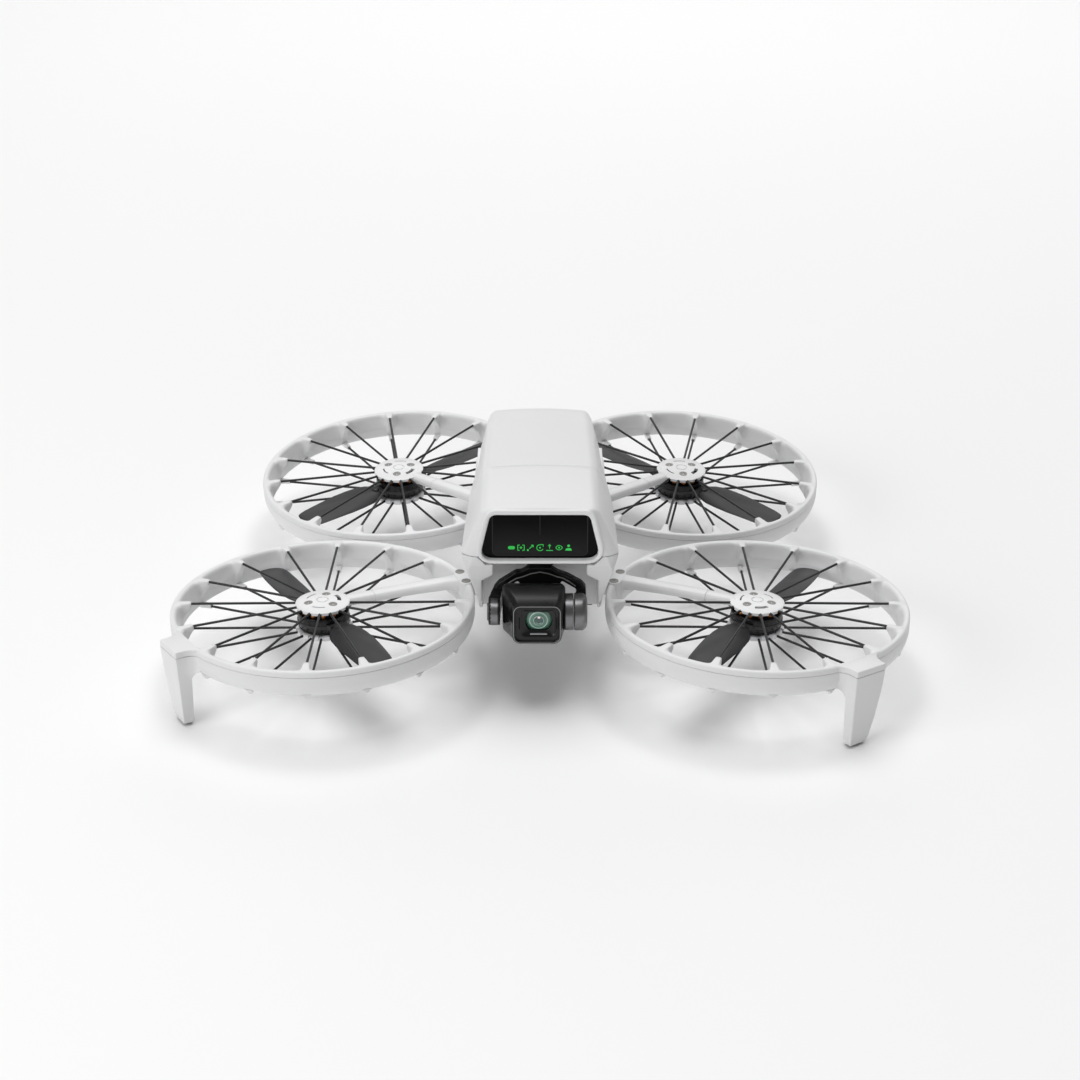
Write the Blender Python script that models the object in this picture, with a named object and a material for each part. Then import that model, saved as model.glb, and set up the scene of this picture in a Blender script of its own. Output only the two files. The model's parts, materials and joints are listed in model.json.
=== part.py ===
"""Folding camera drone with four ring guards, standing on its two front legs.

Every size is in millimetres and becomes metres when a mesh is made. The ground is z = 0, the nose looks along -Y,
and "left" is the -X side. Each arm turns about one slanting hinge, which swings its guard from flat beside the body
to upright under the belly, where the four guards form one thin wheel.
"""

import math

import bmesh
import bpy
from mathutils import Matrix, Vector

MM = 0.001
GAP = 0.3

# The hub plates' top face is the datum for everything above the ground.
DATUM = 31.0

# Guards: hub centres on the right side, and how each one leans.
HUBS = {"front": Vector((81.85, -59.3, DATUM)), "rear": Vector((59.5, 59.3, DATUM - 0.16))}
LEAN_OUT = {"front": math.radians(1.39), "rear": math.radians(2.37)}
LEAN_FORWARD = {"front": math.radians(2.33), "rear": math.radians(-2.39)}
RIM_R = 57.2
RIM_DEPTH = 9.6
RIM_SIDES = 32
SPOKES = 16
NUB_R = 50.3
ROD_R = 0.45
UPPER_ROD_Z = -0.75
UPPER_ROD_END = 53.8
LOWER_ROD_Z = -11.1
FIRST_SPOKE = {"front": math.radians(-1.8), "rear": math.radians(-14.9)}
REAR_RIGHT_TWIST = math.radians(2.3)
BEAM_SPOKE = {"front": 1, "rear": 15}

# Hub, motor and propeller, downwards from the datum.
PLATE_R = 10.25
PLATE_DEPTH = 1.5
MOUNT_R = 6.5
BEAM_DEPTH = 3.2
BELL_R = 9.75
BELL_TOP = -3.5
BELL_BOTTOM = -10.1
STATOR_R = 8.7
AXLE_R = 1.4
LOWER_DISC_TOP = -10.4
LOWER_DISC_R = 10.5
BLADE_TIP_R = 48.5
BLADE_Z = -6.4
BLADE_SHAPE = ((10.6, 4.6, 16), (15, 4.9, 16), (18, 6.2, 14), (27, 6.6, 11), (38, 6.2, 9), (BLADE_TIP_R, 3.4, 7))
BLADE_ANGLE = {"front": math.radians(-60), "rear": math.radians(40)}

# Legs: the middle of each leg's outer face, as an angle on its own ring.
LEG_ANGLE = {-1: math.radians(-147.4), 1: math.radians(-54.9)}
LEG_FACE_R = 63.9
LEG_INNER_R = 59.9
LEG_HALF_TOP = 6.9
FOOT_DEPTH = 1.6

# Folding: where each guard's middle lies when it is upright under the belly.
FOLDED_X = {"front": 21.0, "rear": 7.0}
FOLDED_Y = -10.0
FOLDED_Z = DATUM - 66.0
GUARD_MIDDLE = -6.0
BARREL_R = 3.0
BARREL_HALF = 3.6
BARREL_SHIFT = {"front": -4.0, "rear": -9.5}
EAR_WIDTH = 2.2
LUG_HALF = (2.8, 2.4)
SWEEP_STEPS = 5
PIN_R = 1.05
PIN_BORE_R = 1.4
ROUND_SIDES = 16

# Body: side profile and widths, heights above the datum.
NOSE_Y = -77.8
SEAM_Y = -37.0
TAIL_Y = 35.0
WAIST = 28.0
BATTERY_FLOOR = 12.0
BELLY = -7.5
BAY_HALF = 21.6
BAY_TOP_HALF = 17.2
BAY_BACK = -52.0
BAY_ROOF = 24.2
MODE_BUTTON = (-45.0, DATUM + 14.0)
WINDOW_Z = (26.6, 44.6)
WINDOW_HALF = (21.4, 17.2)
BEZEL = 2.2

# Half widths of the body above the guards at stations along Y: at guard level, at the waist, and at the roof's height.
UPPER_PLAN = (
    (-80.0, 18.5, 21.6, 15.8),
    (-77.6, 20.0, 24.8, 17.4),
    (-76.4, 21.0, 27.2, 18.6),
    (-75.0, 21.8, 28.9, 19.2),
    (-72.0, 22.2, 29.0, 19.4),
    (-66.0, 22.8, 28.7, 19.4),
    (-58.0, 23.6, 28.5, 19.4),
    (-30.0, 24.2, 27.4, 18.8),
    (-13.0, 24.0, 25.8, 18.4),
    (0.0, 23.6, 24.8, 18.2),
    (15.0, 23.2, 24.0, 17.8),
    (30.0, 21.6, 22.6, 17.2),
    (36.0, 19.2, 20.0, 15.4),
)

# Gimbal axes.
YAW_AXIS = Vector((0.0, -58.5, DATUM))
ROLL_AXIS = Vector((0.0, -62.0, DATUM + 9.0))
TILT_AXIS = Vector((0.0, -77.0, DATUM + 5.0))

COLOURS = {
    "white": ((0.86, 0.86, 0.86), 0.45, 0.0),
    "grey": ((0.35, 0.35, 0.36), 0.5, 0.0),
    "black": ((0.02, 0.02, 0.02), 0.35, 0.0),
    "gloss": ((0.005, 0.005, 0.006), 0.08, 0.0),
    "carbon": ((0.03, 0.03, 0.032), 0.4, 0.0),
    "rubber": ((0.05, 0.05, 0.05), 0.8, 0.0),
    "steel": ((0.6, 0.6, 0.61), 0.3, 1.0),
    "copper": ((0.7, 0.33, 0.18), 0.35, 1.0),
    "board": ((0.02, 0.16, 0.07), 0.5, 0.0),
    "glass": ((0.2, 0.4, 0.32), 0.05, 0.0),
    "cell": ((0.25, 0.27, 0.3), 0.4, 0.2),
}


def clear_scene():
    for old in list(bpy.data.objects):
        bpy.data.objects.remove(old, do_unlink=True)


def material(name):
    made = bpy.data.materials.get(name)
    if made:
        return made
    colour, rough, metal = COLOURS[name]
    made = bpy.data.materials.new(name)
    made.use_nodes = True
    shader = made.node_tree.nodes["Principled BSDF"]
    shader.inputs["Base Color"].default_value = (*colour, 1.0)
    shader.inputs["Roughness"].default_value = rough
    shader.inputs["Metallic"].default_value = metal
    return made


# ---- meshes, all in millimetres -------------------------------------------------------------


def finished(bm):
    bmesh.ops.remove_doubles(bm, verts=bm.verts, dist=1e-4)
    bmesh.ops.recalc_face_normals(bm, faces=bm.faces)
    return bm


def turned(profile, sides=16, centre=(0, 0)):
    """A closed outline of (radius, height) points, turned about Z; no point is on the axis."""
    bm = bmesh.new()
    rings = []
    for i in range(sides):
        angle = 2 * math.pi * i / sides
        c, s = math.cos(angle), math.sin(angle)
        rings.append([bm.verts.new((centre[0] + r * c, centre[1] + r * s, z)) for r, z in profile])
    for i, ring in enumerate(rings):
        after = rings[(i + 1) % sides]
        for j in range(len(profile)):
            k = (j + 1) % len(profile)
            bm.faces.new((ring[j], ring[k], after[k], after[j]))
    return finished(bm)


def cylinder(radius, low, high, sides=16, centre=(0, 0)):
    bm = bmesh.new()
    place = Matrix.Translation((centre[0], centre[1], (low + high) / 2))
    bmesh.ops.create_cone(
        bm, cap_ends=True, segments=sides, radius1=radius, radius2=radius, depth=high - low, matrix=place
    )
    return finished(bm)


def box(low, high):
    bm = bmesh.new()
    size = [b - a for a, b in zip(low, high)]
    middle = [(a + b) / 2 for a, b in zip(low, high)]
    bmesh.ops.create_cube(bm, size=1.0, matrix=Matrix.Translation(middle) @ Matrix.Diagonal((*size, 1)))
    return finished(bm)


def loft(sections):
    """Closed rings of equally many points, joined in order and capped at both ends."""
    bm = bmesh.new()
    rings = [[bm.verts.new(p) for p in ring] for ring in sections]
    for low, high in zip(rings, rings[1:]):
        for j in range(len(low)):
            k = (j + 1) % len(low)
            bm.faces.new((low[j], low[k], high[k], high[j]))
    bm.faces.new(rings[0][::-1])
    bm.faces.new(rings[-1])
    return finished(bm)


def rod(start, end, radius, sides=6):
    """A straight round bar between two points."""
    start, end = Vector(start), Vector(end)
    along = end - start
    bm = bmesh.new()
    place = Matrix.Translation((start + end) / 2) @ along.to_track_quat("Z", "Y").to_matrix().to_4x4()
    bmesh.ops.create_cone(
        bm, cap_ends=True, segments=sides, radius1=radius, radius2=radius, depth=along.length, matrix=place
    )
    return finished(bm)


def bar(start, end, half_width, half_height, up):
    """A straight bar of rectangular section between two points."""
    start, end = Vector(start), Vector(end)
    along = (end - start).normalized()
    side = along.cross(Vector(up)).normalized() * half_width
    rise = side.cross(along).normalized() * half_height
    ring = [side + rise, rise - side, -side - rise, side - rise]
    return loft([[start + p for p in ring], [end + p for p in ring]])


def together(meshes):
    """Several meshes as one, still overlapping where they overlap."""
    whole = bmesh.new()
    for bm in meshes:
        copy = bpy.data.meshes.new("copy")
        bm.to_mesh(copy)
        bm.free()
        whole.from_mesh(copy)
        bpy.data.meshes.remove(copy)
    return whole


def moved(bm, matrix):
    bmesh.ops.transform(bm, matrix=matrix, verts=bm.verts)
    if matrix.determinant() < 0:
        bmesh.ops.reverse_faces(bm, faces=bm.faces)
    return bm


def combine(first, second, operation):
    """The union, difference or intersection of two closed meshes."""
    objects = []
    for bm in (first, second):
        bmesh.ops.triangulate(bm, faces=bm.faces)
        mesh = bpy.data.meshes.new("operand")
        bm.to_mesh(mesh)
        bm.free()
        thing = bpy.data.objects.new("operand", mesh)
        bpy.context.collection.objects.link(thing)
        objects.append(thing)
    boolean = objects[0].modifiers.new("boolean", "BOOLEAN")
    boolean.operation = operation
    boolean.object = objects[1]
    for solver in ("EXACT", "MANIFOLD"):
        boolean.solver = solver
        evaluated = objects[0].evaluated_get(bpy.context.evaluated_depsgraph_get())
        result = bmesh.new()
        result.from_mesh(evaluated.to_mesh())
        evaluated.to_mesh_clear()
        if result.faces and all(len(edge.link_faces) == 2 for edge in result.edges):
            break
    for thing in objects:
        mesh = thing.data
        bpy.data.objects.remove(thing, do_unlink=True)
        bpy.data.meshes.remove(mesh)
    return result


def union(first, *others):
    for other in others:
        first = combine(first, other, "UNION")
    return first


def cut(first, *others):
    for other in others:
        first = combine(first, other, "DIFFERENCE")
    return first


# ---- objects --------------------------------------------------------------------------------


def pivot(name, place, parent=None):
    """An empty on a joint's axis, which its moving pieces hang from."""
    empty = bpy.data.objects.new(name, None)
    empty.empty_display_size = 0.01
    bpy.context.collection.objects.link(empty)
    empty.matrix_world = Matrix.Translation(Vector(place) * MM)
    bpy.context.view_layer.update()
    if parent:
        hang(empty, parent)
    return empty


def hang(child, parent):
    where = child.matrix_world.copy()
    child.parent = parent
    child.matrix_parent_inverse = parent.matrix_world.inverted()
    child.matrix_world = where
    bpy.context.view_layer.update()


def piece(name, bm, finish, frame=None, parent=None):
    """One named solid, from a mesh in the millimetres of its own frame."""
    mesh = bpy.data.meshes.new(name)
    moved(bm, Matrix.Scale(MM, 4))
    bmesh.ops.triangulate(bm, faces=[f for f in bm.faces if len(f.verts) > 4])
    bm.to_mesh(mesh)
    bm.free()
    mesh.shade_smooth()
    mesh.set_sharp_from_angle(angle=math.radians(35))
    mesh.materials.append(material(finish))
    made = bpy.data.objects.new(name, mesh)
    bpy.context.collection.objects.link(made)
    if frame:
        made.matrix_world = Matrix.Translation(frame.translation * MM) @ frame.to_3x3().to_4x4()
    bpy.context.view_layer.update()
    if parent:
        hang(made, parent)
    return made


# ---- folding --------------------------------------------------------------------------------


def ring_frame(side, row):
    """Where a ring stands at rest: its hub plate's centre, leaning out and forward."""
    hub = HUBS[row]
    lean = Matrix.Rotation(-LEAN_FORWARD[row], 4, "X") @ Matrix.Rotation(side * LEAN_OUT[row], 4, "Y")
    return Matrix.Translation((side * hub.x, hub.y, hub.z)) @ lean


def fold_axis(side, row):
    """The one axis about which a pure turn carries the resting guard to its folded place.

    The folded guard faces sideways, and it may stand at any roll about X. The roll is right when the way from the
    resting middle to the folded one is square to the turn's axis.
    """
    rest = ring_frame(side, row)
    start = rest @ Vector((0, 0, GUARD_MIDDLE))
    end = Vector((side * FOLDED_X[row], FOLDED_Y, FOLDED_Z))

    def turn(roll):
        upright = Matrix.Rotation(roll, 3, "X") @ Matrix.Rotation(side * math.pi / 2, 3, "Y")
        return (upright @ rest.to_3x3().transposed()).to_quaternion()

    def miss(roll):
        return (end - start).dot(turn(roll).axis)

    low, high = (math.radians(20), math.radians(70)) if row == "front" else (math.radians(-80), math.radians(-40))
    falling = miss(low) > miss(high)
    for _ in range(60):
        middle = (low + high) / 2
        if (miss(middle) > 0) == falling:
            low = middle
        else:
            high = middle
    quaternion = turn(low)
    axis, angle = quaternion.axis.copy(), quaternion.angle
    if axis.y < 0:
        axis, angle = -axis, -angle
    across = end - start
    point = (start + end) / 2 + 0.5 / math.tan(angle / 2) * axis.cross(across)
    return point, axis, angle


# ---- arms -----------------------------------------------------------------------------------


def mirrored(side, angle):
    return angle if side < 0 else math.pi - angle


def beam_angle(side, row):
    return mirrored(side, FIRST_SPOKE[row] + 2 * math.pi * BEAM_SPOKE[row] / SPOKES)


def spoke_angle(side, row, k):
    """Angle of one spoke on its ring. The two sides mirror each other, but for a small twist of the rear right ring."""
    twist = REAR_RIGHT_TWIST if (side, row) == (1, "rear") else 0.0
    return mirrored(side, FIRST_SPOKE[row] + 2 * math.pi * k / SPOKES) - twist


def polar(radius, angle, z):
    return Vector((radius * math.cos(angle), radius * math.sin(angle), z))


def rim_mesh():
    profile = [
        (54.4, 0.0),
        (56.6, 0.0),
        (RIM_R, -0.7),
        (RIM_R, 0.9 - RIM_DEPTH),
        (RIM_R - 0.7, -RIM_DEPTH),
        (54.9, -RIM_DEPTH),
        (53.9, -6.0),
    ]
    return turned(profile, RIM_SIDES)


def nubs_mesh(side, row):
    """The small fins under the rim that hold the lower spokes' outer ends."""
    fins = []
    for k in range(SPOKES):
        angle = spoke_angle(side, row, k)
        out = Matrix.Rotation(angle, 3, "Z")
        wedge = [(NUB_R, -11.8), (NUB_R, -8.6), (55.4, -8.6)]
        fins.append(loft([[out @ Vector((r, w, z)) for r, z in wedge] for w in (-0.8, 0.8)]))
    return together(fins)


def guard_mesh(side, row, frame, hinge):
    """Rim, spoke fins, the beam that carries the motor, and the hinge barrel."""
    inward = beam_angle(side, row)
    beam = bar(polar(PLATE_R + GAP, inward, -1.6), polar(55.0, inward, -1.6), 2.6, 1.6, (0, 0, 1))
    under = bar(polar(3.0, inward, -2.5), polar(PLATE_R + 2, inward, -2.5), 2.4, 0.7, (0, 0, 1))
    mount = cylinder(MOUNT_R, -BEAM_DEPTH, -PLATE_DEPTH - GAP)
    bm = union(rim_mesh(), nubs_mesh(side, row), beam, under, mount)
    to_ring = frame.inverted()
    barrel_at, axis = hinge["barrel"], hinge["axis"]
    lug = moved(lug_mesh(hinge, 0.0), to_ring)
    barrel = moved(rod(barrel_at - axis * BARREL_HALF, barrel_at + axis * BARREL_HALF, BARREL_R, 12), to_ring)
    bore = moved(rod(barrel_at - axis * 12, barrel_at + axis * 12, PIN_BORE_R, 8), to_ring)
    return cut(union(bm, lug, barrel), bore)


def lug_mesh(hinge, margin):
    """The slanting arm from the hinge barrel to the rim, with a margin all round."""
    return bar(hinge["barrel"], hinge["rim"], LUG_HALF[0] + margin, LUG_HALF[1] + margin, hinge["axis"])


def swept_lug(hinge):
    """A closed shape round every place that the lug passes through as the guard folds."""
    corners = bmesh.new()
    for step in range(SWEEP_STEPS + 1):
        turn = Matrix.Rotation(hinge["angle"] * step / SWEEP_STEPS, 4, hinge["axis"])
        about = Matrix.Translation(hinge["barrel"]) @ turn @ Matrix.Translation(-hinge["barrel"])
        lug = lug_mesh(hinge, 0.6)
        for vert in lug.verts:
            corners.verts.new(about @ vert.co)
        lug.free()
    hull = bmesh.ops.convex_hull(corners, input=corners.verts)
    loose = {v for v in hull["geom_interior"] + hull["geom_unused"] if isinstance(v, bmesh.types.BMVert)}
    bmesh.ops.delete(corners, geom=list(loose), context="VERTS")
    return finished(corners)


def bracket_mesh(hinge):
    """Two ears round the barrel, on a base that faces the body."""
    at, axis, back = hinge["barrel"], hinge["axis"], hinge["back"]
    inner = BARREL_HALF + GAP
    outer = inner + EAR_WIDTH
    parts = []
    for sign in (-1, 1):
        ear = rod(at + axis * sign * inner, at + axis * sign * outer, BARREL_R + 0.2, 10)
        root = bar(at + axis * sign * (inner + 0.1), at + axis * sign * (outer - 0.1), 2.2, 2.2, back)
        root = moved(root, Matrix.Translation(back * 2.4))
        parts.append(union(ear, root))
    base = bar(at - axis * (outer - 0.2), at + axis * (outer - 0.2), 2.6, 0.9, back)
    base = moved(base, Matrix.Translation(back * 4.2))
    bm = union(parts[0], base, parts[1])
    return cut(bm, rod(at - axis * 12, at + axis * 12, PIN_BORE_R, 8))


def spokes_mesh(side, row, height, inner, outer, skip=None):
    rods = []
    for k in range(SPOKES):
        if k == skip:
            continue
        angle = spoke_angle(side, row, k)
        rods.append(rod(polar(inner, angle, height), polar(outer, angle, height), ROD_R, 4))
    return together(rods)


def blade_sections(angle, hand):
    """A thin twisted blade as rings of four points, from its shoulder to its tip."""
    sections = []
    for radius, half, pitch in BLADE_SHAPE:
        lift = math.tan(math.radians(pitch)) * half * hand
        out = polar(radius, angle, BLADE_Z)
        across = Vector((-math.sin(angle), math.cos(angle), 0)) * half
        ring = []
        for sign, rise in ((-1, 0.45), (1, 0.45), (1, -0.45), (-1, -0.45)):
            ring.append(out + across * sign + Vector((0, 0, sign * lift + rise)))
        sections.append(ring)
    return sections


def propeller_mesh(side, row):
    """Two blades on a ring that clamps round the motor's bell."""
    hand = side * (-1 if row == "front" else 1)
    collar = turned([(BELL_R + GAP, -4.8), (BELL_R + GAP, -8.0), (11.4, -8.0), (11.4, -4.8)], ROUND_SIDES)
    first = mirrored(side, BLADE_ANGLE[row])
    blades = [loft(blade_sections(first + turn, hand)) for turn in (0, math.pi)]
    return union(collar, *blades)


def bell_mesh():
    """The motor's outer cup, open at the top, with a hole for the axle."""
    profile = [
        (1.8, BELL_BOTTOM),
        (BELL_R - 0.6, BELL_BOTTOM),
        (BELL_R, BELL_BOTTOM + 0.6),
        (BELL_R, BELL_TOP),
        (BELL_R - 0.7, BELL_TOP),
        (BELL_R - 0.7, BELL_BOTTOM + 1.2),
        (1.8, BELL_BOTTOM + 1.2),
    ]
    return turned(profile, ROUND_SIDES)


def stator_mesh():
    """Windings and axle, which stand still under the beam's end."""
    core = cylinder(STATOR_R, BELL_BOTTOM + 1.6, -BEAM_DEPTH - GAP)
    axle = cylinder(AXLE_R, BELL_BOTTOM, BELL_BOTTOM + 3.0, 8)
    return union(core, axle)


def leg_outline(side, width_scale, height, frame):
    """A leg's level section at one height: its outer face is flat and its far edge leans in as it goes down."""
    angle = LEG_ANGLE[side]
    out = Vector((math.cos(angle), math.sin(angle), 0))
    along = Vector((-math.sin(angle), math.cos(angle), 0)) * (1 if side > 0 else -1)
    near = -LEG_HALF_TOP
    far = LEG_HALF_TOP - (1 - width_scale) * 2 * LEG_HALF_TOP
    centre = frame.translation
    corners = [(LEG_FACE_R, near), (LEG_FACE_R, far), (LEG_INNER_R, far - 0.6), (LEG_INNER_R, near + 1.4)]
    return [Vector((*(centre + out * r + along * w).xy, height)) for r, w in corners]


def leg_meshes(side, frame):
    """The leg with its bracket to the rim, and its rubber foot."""
    lean = frame.to_3x3() @ Vector((0, 0, 1))

    def drop(at):
        """Height of the ring's top plane at a point."""
        offset = at - frame.translation
        return frame.translation.z - (offset.x * lean.x + offset.y * lean.y) / lean.z

    top = [Vector((p.x, p.y, drop(p) - 0.7)) for p in leg_outline(side, 1.0, 0, frame)]
    foot_top = leg_outline(side, 0.62, FOOT_DEPTH + GAP, frame)
    leg = loft([foot_top, leg_outline(side, 0.78, 14.0, frame), top])
    angle = LEG_ANGLE[side]
    reach = bar(polar(RIM_R + GAP + 0.15, angle, -4.9), polar(LEG_FACE_R - 0.8, angle, -4.9), 5.6, 4.0, (0, 0, 1))
    leg = union(leg, moved(reach, frame))
    foot = loft([leg_outline(side, 0.6, 0.0, frame), leg_outline(side, 0.62, FOOT_DEPTH, frame)])
    return leg, foot


def make_arm(side, row):
    name = f"{row}_{'left' if side < 0 else 'right'}"
    frame = ring_frame(side, row)
    point, axis, angle = fold_axis(side, row)
    at = point + axis * BARREL_SHIFT[row]
    rim_point = frame @ polar(RIM_R - 1.6, beam_angle(side, row), -3.4)
    lug_way = rim_point - at
    lug_way = (lug_way - axis * lug_way.dot(axis)).normalized()
    back = -(Matrix.Rotation(angle / 2, 3, axis) @ lug_way)
    hinge = {"barrel": at, "axis": axis, "back": back, "rim": rim_point, "angle": angle}
    arm = pivot(f"{name}_fold_axis", at)
    spin = pivot(f"{name}_spin_axis", frame @ Vector((0, 0, -6)), arm)
    piece(f"{name}_guard", guard_mesh(side, row, frame, hinge), "white", frame, arm)
    plate = cylinder(PLATE_R, -PLATE_DEPTH, 0.0)
    upper = union(plate, spokes_mesh(side, row, UPPER_ROD_Z, 8.0, UPPER_ROD_END, BEAM_SPOKE[row]))
    piece(f"{name}_upper_spokes", upper, "carbon", frame, arm)
    disc = cylinder(LOWER_DISC_R, LOWER_DISC_TOP - 1.3, LOWER_DISC_TOP)
    lower = union(disc, spokes_mesh(side, row, LOWER_ROD_Z, 8.5, NUB_R - GAP))
    piece(f"{name}_lower_spokes", lower, "carbon", frame, arm)
    piece(f"{name}_stator", stator_mesh(), "copper", frame, arm)
    piece(f"{name}_motor_bell", bell_mesh(), "black", frame, spin)
    piece(f"{name}_propeller", propeller_mesh(side, row), "black", frame, spin)
    reach = BARREL_HALF + GAP + EAR_WIDTH + 0.4
    piece(f"{name}_hinge_pin", rod(at - axis * reach, at + axis * reach, PIN_R, 8), "steel")
    piece(f"{name}_hinge_bracket", bracket_mesh(hinge), "grey")
    if row == "front":
        leg, foot = leg_meshes(side, frame)
        piece(f"{name}_leg", leg, "white", None, arm)
        piece(f"{name}_foot", foot, "rubber", None, arm)
    return hinge


# ---- body -----------------------------------------------------------------------------------


def side_profile():
    """The body's outline seen from the side, as (y, height above the datum)."""
    nose_edge = [(-77.0, 45.4), (-76.5, 46.5), (-75.4, 47.1)]
    roof = [(-66.0, 47.4), (-50.0, 46.95), (-37.0, 46.0)]
    tail_edge = [(31.5, 39.3), (33.6, 38.5), (34.8, 36.2)]
    return [
        (14.0, BELLY),
        (-45.0, BELLY),
        (-58.0, -3.5),
        (-66.5, 3.0),
        (-76.6, 23.6),
        (NOSE_Y, 28.0),
        *nose_edge,
        *roof,
        *tail_edge,
        (TAIL_Y, 31.0),
        (34.4, 8.0),
        (32.6, 4.4),
        (27.5, 3.4),
        (27.5, -3.5),
    ]


def side_slab():
    ring = [(y, DATUM + z) for y, z in side_profile()]
    return loft([[(x, y, z) for y, z in ring] for x in (-34.0, 34.0)])


def plan_ring(half_widths, height):
    """A level outline of the body from (y, half width) pairs, mirrored about the middle."""
    right = [(w, y, DATUM + height) for y, w in half_widths]
    left = [(-w, y, DATUM + height) for y, w in reversed(half_widths)]
    return right + left


def lower_width():
    """At guard level the body narrows to the rear, between the rear guards."""
    low = [(-80, 17.0), (-60, 21.8), (-30, 22.2), (-2, 21.5), (9, 16.6), (17, 13.2), (24.5, 10.2), (29, 8)]
    high = [(-80, 18.5), (-60, 23.6), (-30, 24.0), (-2, 23.2), (9, 18.0), (17, 14.4), (24.5, 11.4), (29, 9)]
    return loft([plan_ring(low, BELLY - 1), plan_ring(high, 3.0), plan_ring(high, 3.6)])


def upper_width():
    """Above the guards the body is widest at the waist, and its sides lean in to the roof."""
    return loft([plan_ring([(y, widths[i]) for y, *widths in UPPER_PLAN], z) for i, z in enumerate((3.4, WAIST, 50.0))])


def body_blank():
    return combine(side_slab(), union(lower_width(), upper_width()), "INTERSECT")


def slab(y, z, half=40.0):
    """A level box right across the body, from its ranges along Y and above the datum."""
    return box((-half, y[0], DATUM + z[0]), (half, y[1], DATUM + z[1]))


def window_prism(grow, y_from, y_to):
    """The front window's trapezoid, widened all round by a margin."""
    low, high = WINDOW_Z
    bottom, top = WINDOW_HALF
    corner = 2.6
    outline = [
        (bottom + grow, low + corner),
        (bottom - corner + grow * 0.5, low - grow),
        (-bottom + corner - grow * 0.5, low - grow),
        (-bottom - grow, low + corner),
        (-top - grow, high - corner * 0.6),
        (-top + corner - grow * 0.5, high + grow),
        (top - corner + grow * 0.5, high + grow),
        (top + grow, high - corner * 0.6),
    ]
    return loft([[(x, y, DATUM + z) for x, z in outline] for y in (y_from, y_to)])


def make_upper_shell():
    bm = combine(body_blank(), slab((-90, SEAM_Y - GAP / 2), (WAIST + GAP / 2, 60)), "INTERSECT")
    front, back = -71.5, SEAM_Y - 2.5
    floor = [(x, y, DATUM + 27) for x, y in ((-24.5, front), (24.5, front), (23.5, back), (-23.5, back))]
    ceiling = [(x, y, DATUM + 41.8) for x, y in ((-16.8, front), (16.8, front), (16.8, back), (-16.8, back))]
    hollow = loft([floor, ceiling])
    bezel = combine(body_blank(), window_prism(BEZEL, -90, -71.2), "INTERSECT")
    return cut(union(bm, bezel), hollow, window_prism(0.0, -82, -70))


def make_lower_shell(hinges):
    front = combine(body_blank(), slab((-90, SEAM_Y - GAP / 2), (-20, WAIST - GAP / 2)), "INTERSECT")
    rear = combine(body_blank(), slab((SEAM_Y - 1, 60), (-20, BATTERY_FLOOR - GAP / 2)), "INTERSECT")
    bm = union(front, rear)
    right = [(BAY_HALF, -20.0), (BAY_HALF, 15.5), (BAY_TOP_HALF, 18.8), (BAY_TOP_HALF, BAY_ROOF)]
    arch = right + [(-x, z) for x, z in reversed(right)]
    bay = loft([[(x, y, DATUM + z) for x, z in arch] for y in (-90, BAY_BACK)])
    roof_hole = box((-9.4, -68.4, DATUM + 20), (9.4, -50.0, DATUM + 40))
    board_room = box((-15.6, -49.5, DATUM - 3.6), (15.6, -4, DATUM + 40))
    belly_hole = box((-11.4, -38.0, DATUM - 12), (11.4, -10.0, DATUM - 1))
    bm = cut(bm, bay, roof_hole, board_room, belly_hole, window_prism(BEZEL + GAP, -90, -70.9))
    for hinge in hinges:
        bm = cut(bm, *hinge_pocket(hinge))
    return cut(bm, *tail_pockets())


def hinge_pocket(hinge):
    """Room for a hinge bracket, and for the lug that turns between its ears."""
    at, axis, back = hinge["barrel"], hinge["axis"], hinge["back"]
    length = BARREL_HALF + GAP + EAR_WIDTH + 0.8
    near = rod(at - axis * length, at + axis * length, 4.2, 10)
    seat = bar(at - axis * length, at + axis * length, 3.1, 3.3, back)
    seat = moved(seat, Matrix.Translation(back * 3.2))
    return near, seat, swept_lug(hinge)


def tail_pockets():
    """Seats for the charging socket in the tail, and for the mode button in the left flank."""
    socket = box((-4.9, 24.0, DATUM + 4.6), (4.9, 40, DATUM + 8.4))
    button = rod((-21.5, *MODE_BUTTON), (-30, *MODE_BUTTON), 2.9, 20)
    return socket, button


def make_battery(cells_room):
    bm = combine(body_blank(), slab((SEAM_Y + GAP / 2, 60), (BATTERY_FLOOR + GAP / 2, 60)), "INTERSECT")
    low, high = cells_room
    room = box((low[0] - GAP, low[1] - GAP, DATUM + 8), (high[0] + GAP, high[1] + GAP, high[2] + GAP))
    pockets = []
    for side in (-1, 1):
        pockets.append(box_between(side, 21.0, 30.0, (-7.3, 12.3), (15.2, 31.3)))
    button = cylinder(3.4, 0, 12, 24)
    button = moved(button, Matrix.Translation((0, 31.2, DATUM + 22)) @ Matrix.Rotation(-math.pi / 2, 4, "X"))
    return cut(bm, room, *pockets, button)


def box_between(side, near, far, y, z):
    """A box on one side of the body, from its distances outward."""
    xs = sorted((side * near, side * far))
    return box((xs[0], y[0], DATUM + z[0]), (xs[1], y[1], DATUM + z[1]))


def buckle_mesh(side):
    """A release buckle: a plate that stands a little proud of the battery's side."""
    face = [(25.7, -7, 15.5), (25.7, 12, 15.5), (24.6, 12, 31), (24.6, -7, 31)]
    outer = [(side * x, y, DATUM + z) for x, y, z in face]
    inner = [(side * (x - 1.9), y, DATUM + z) for x, y, z in face]
    return loft([inner, outer])


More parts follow.
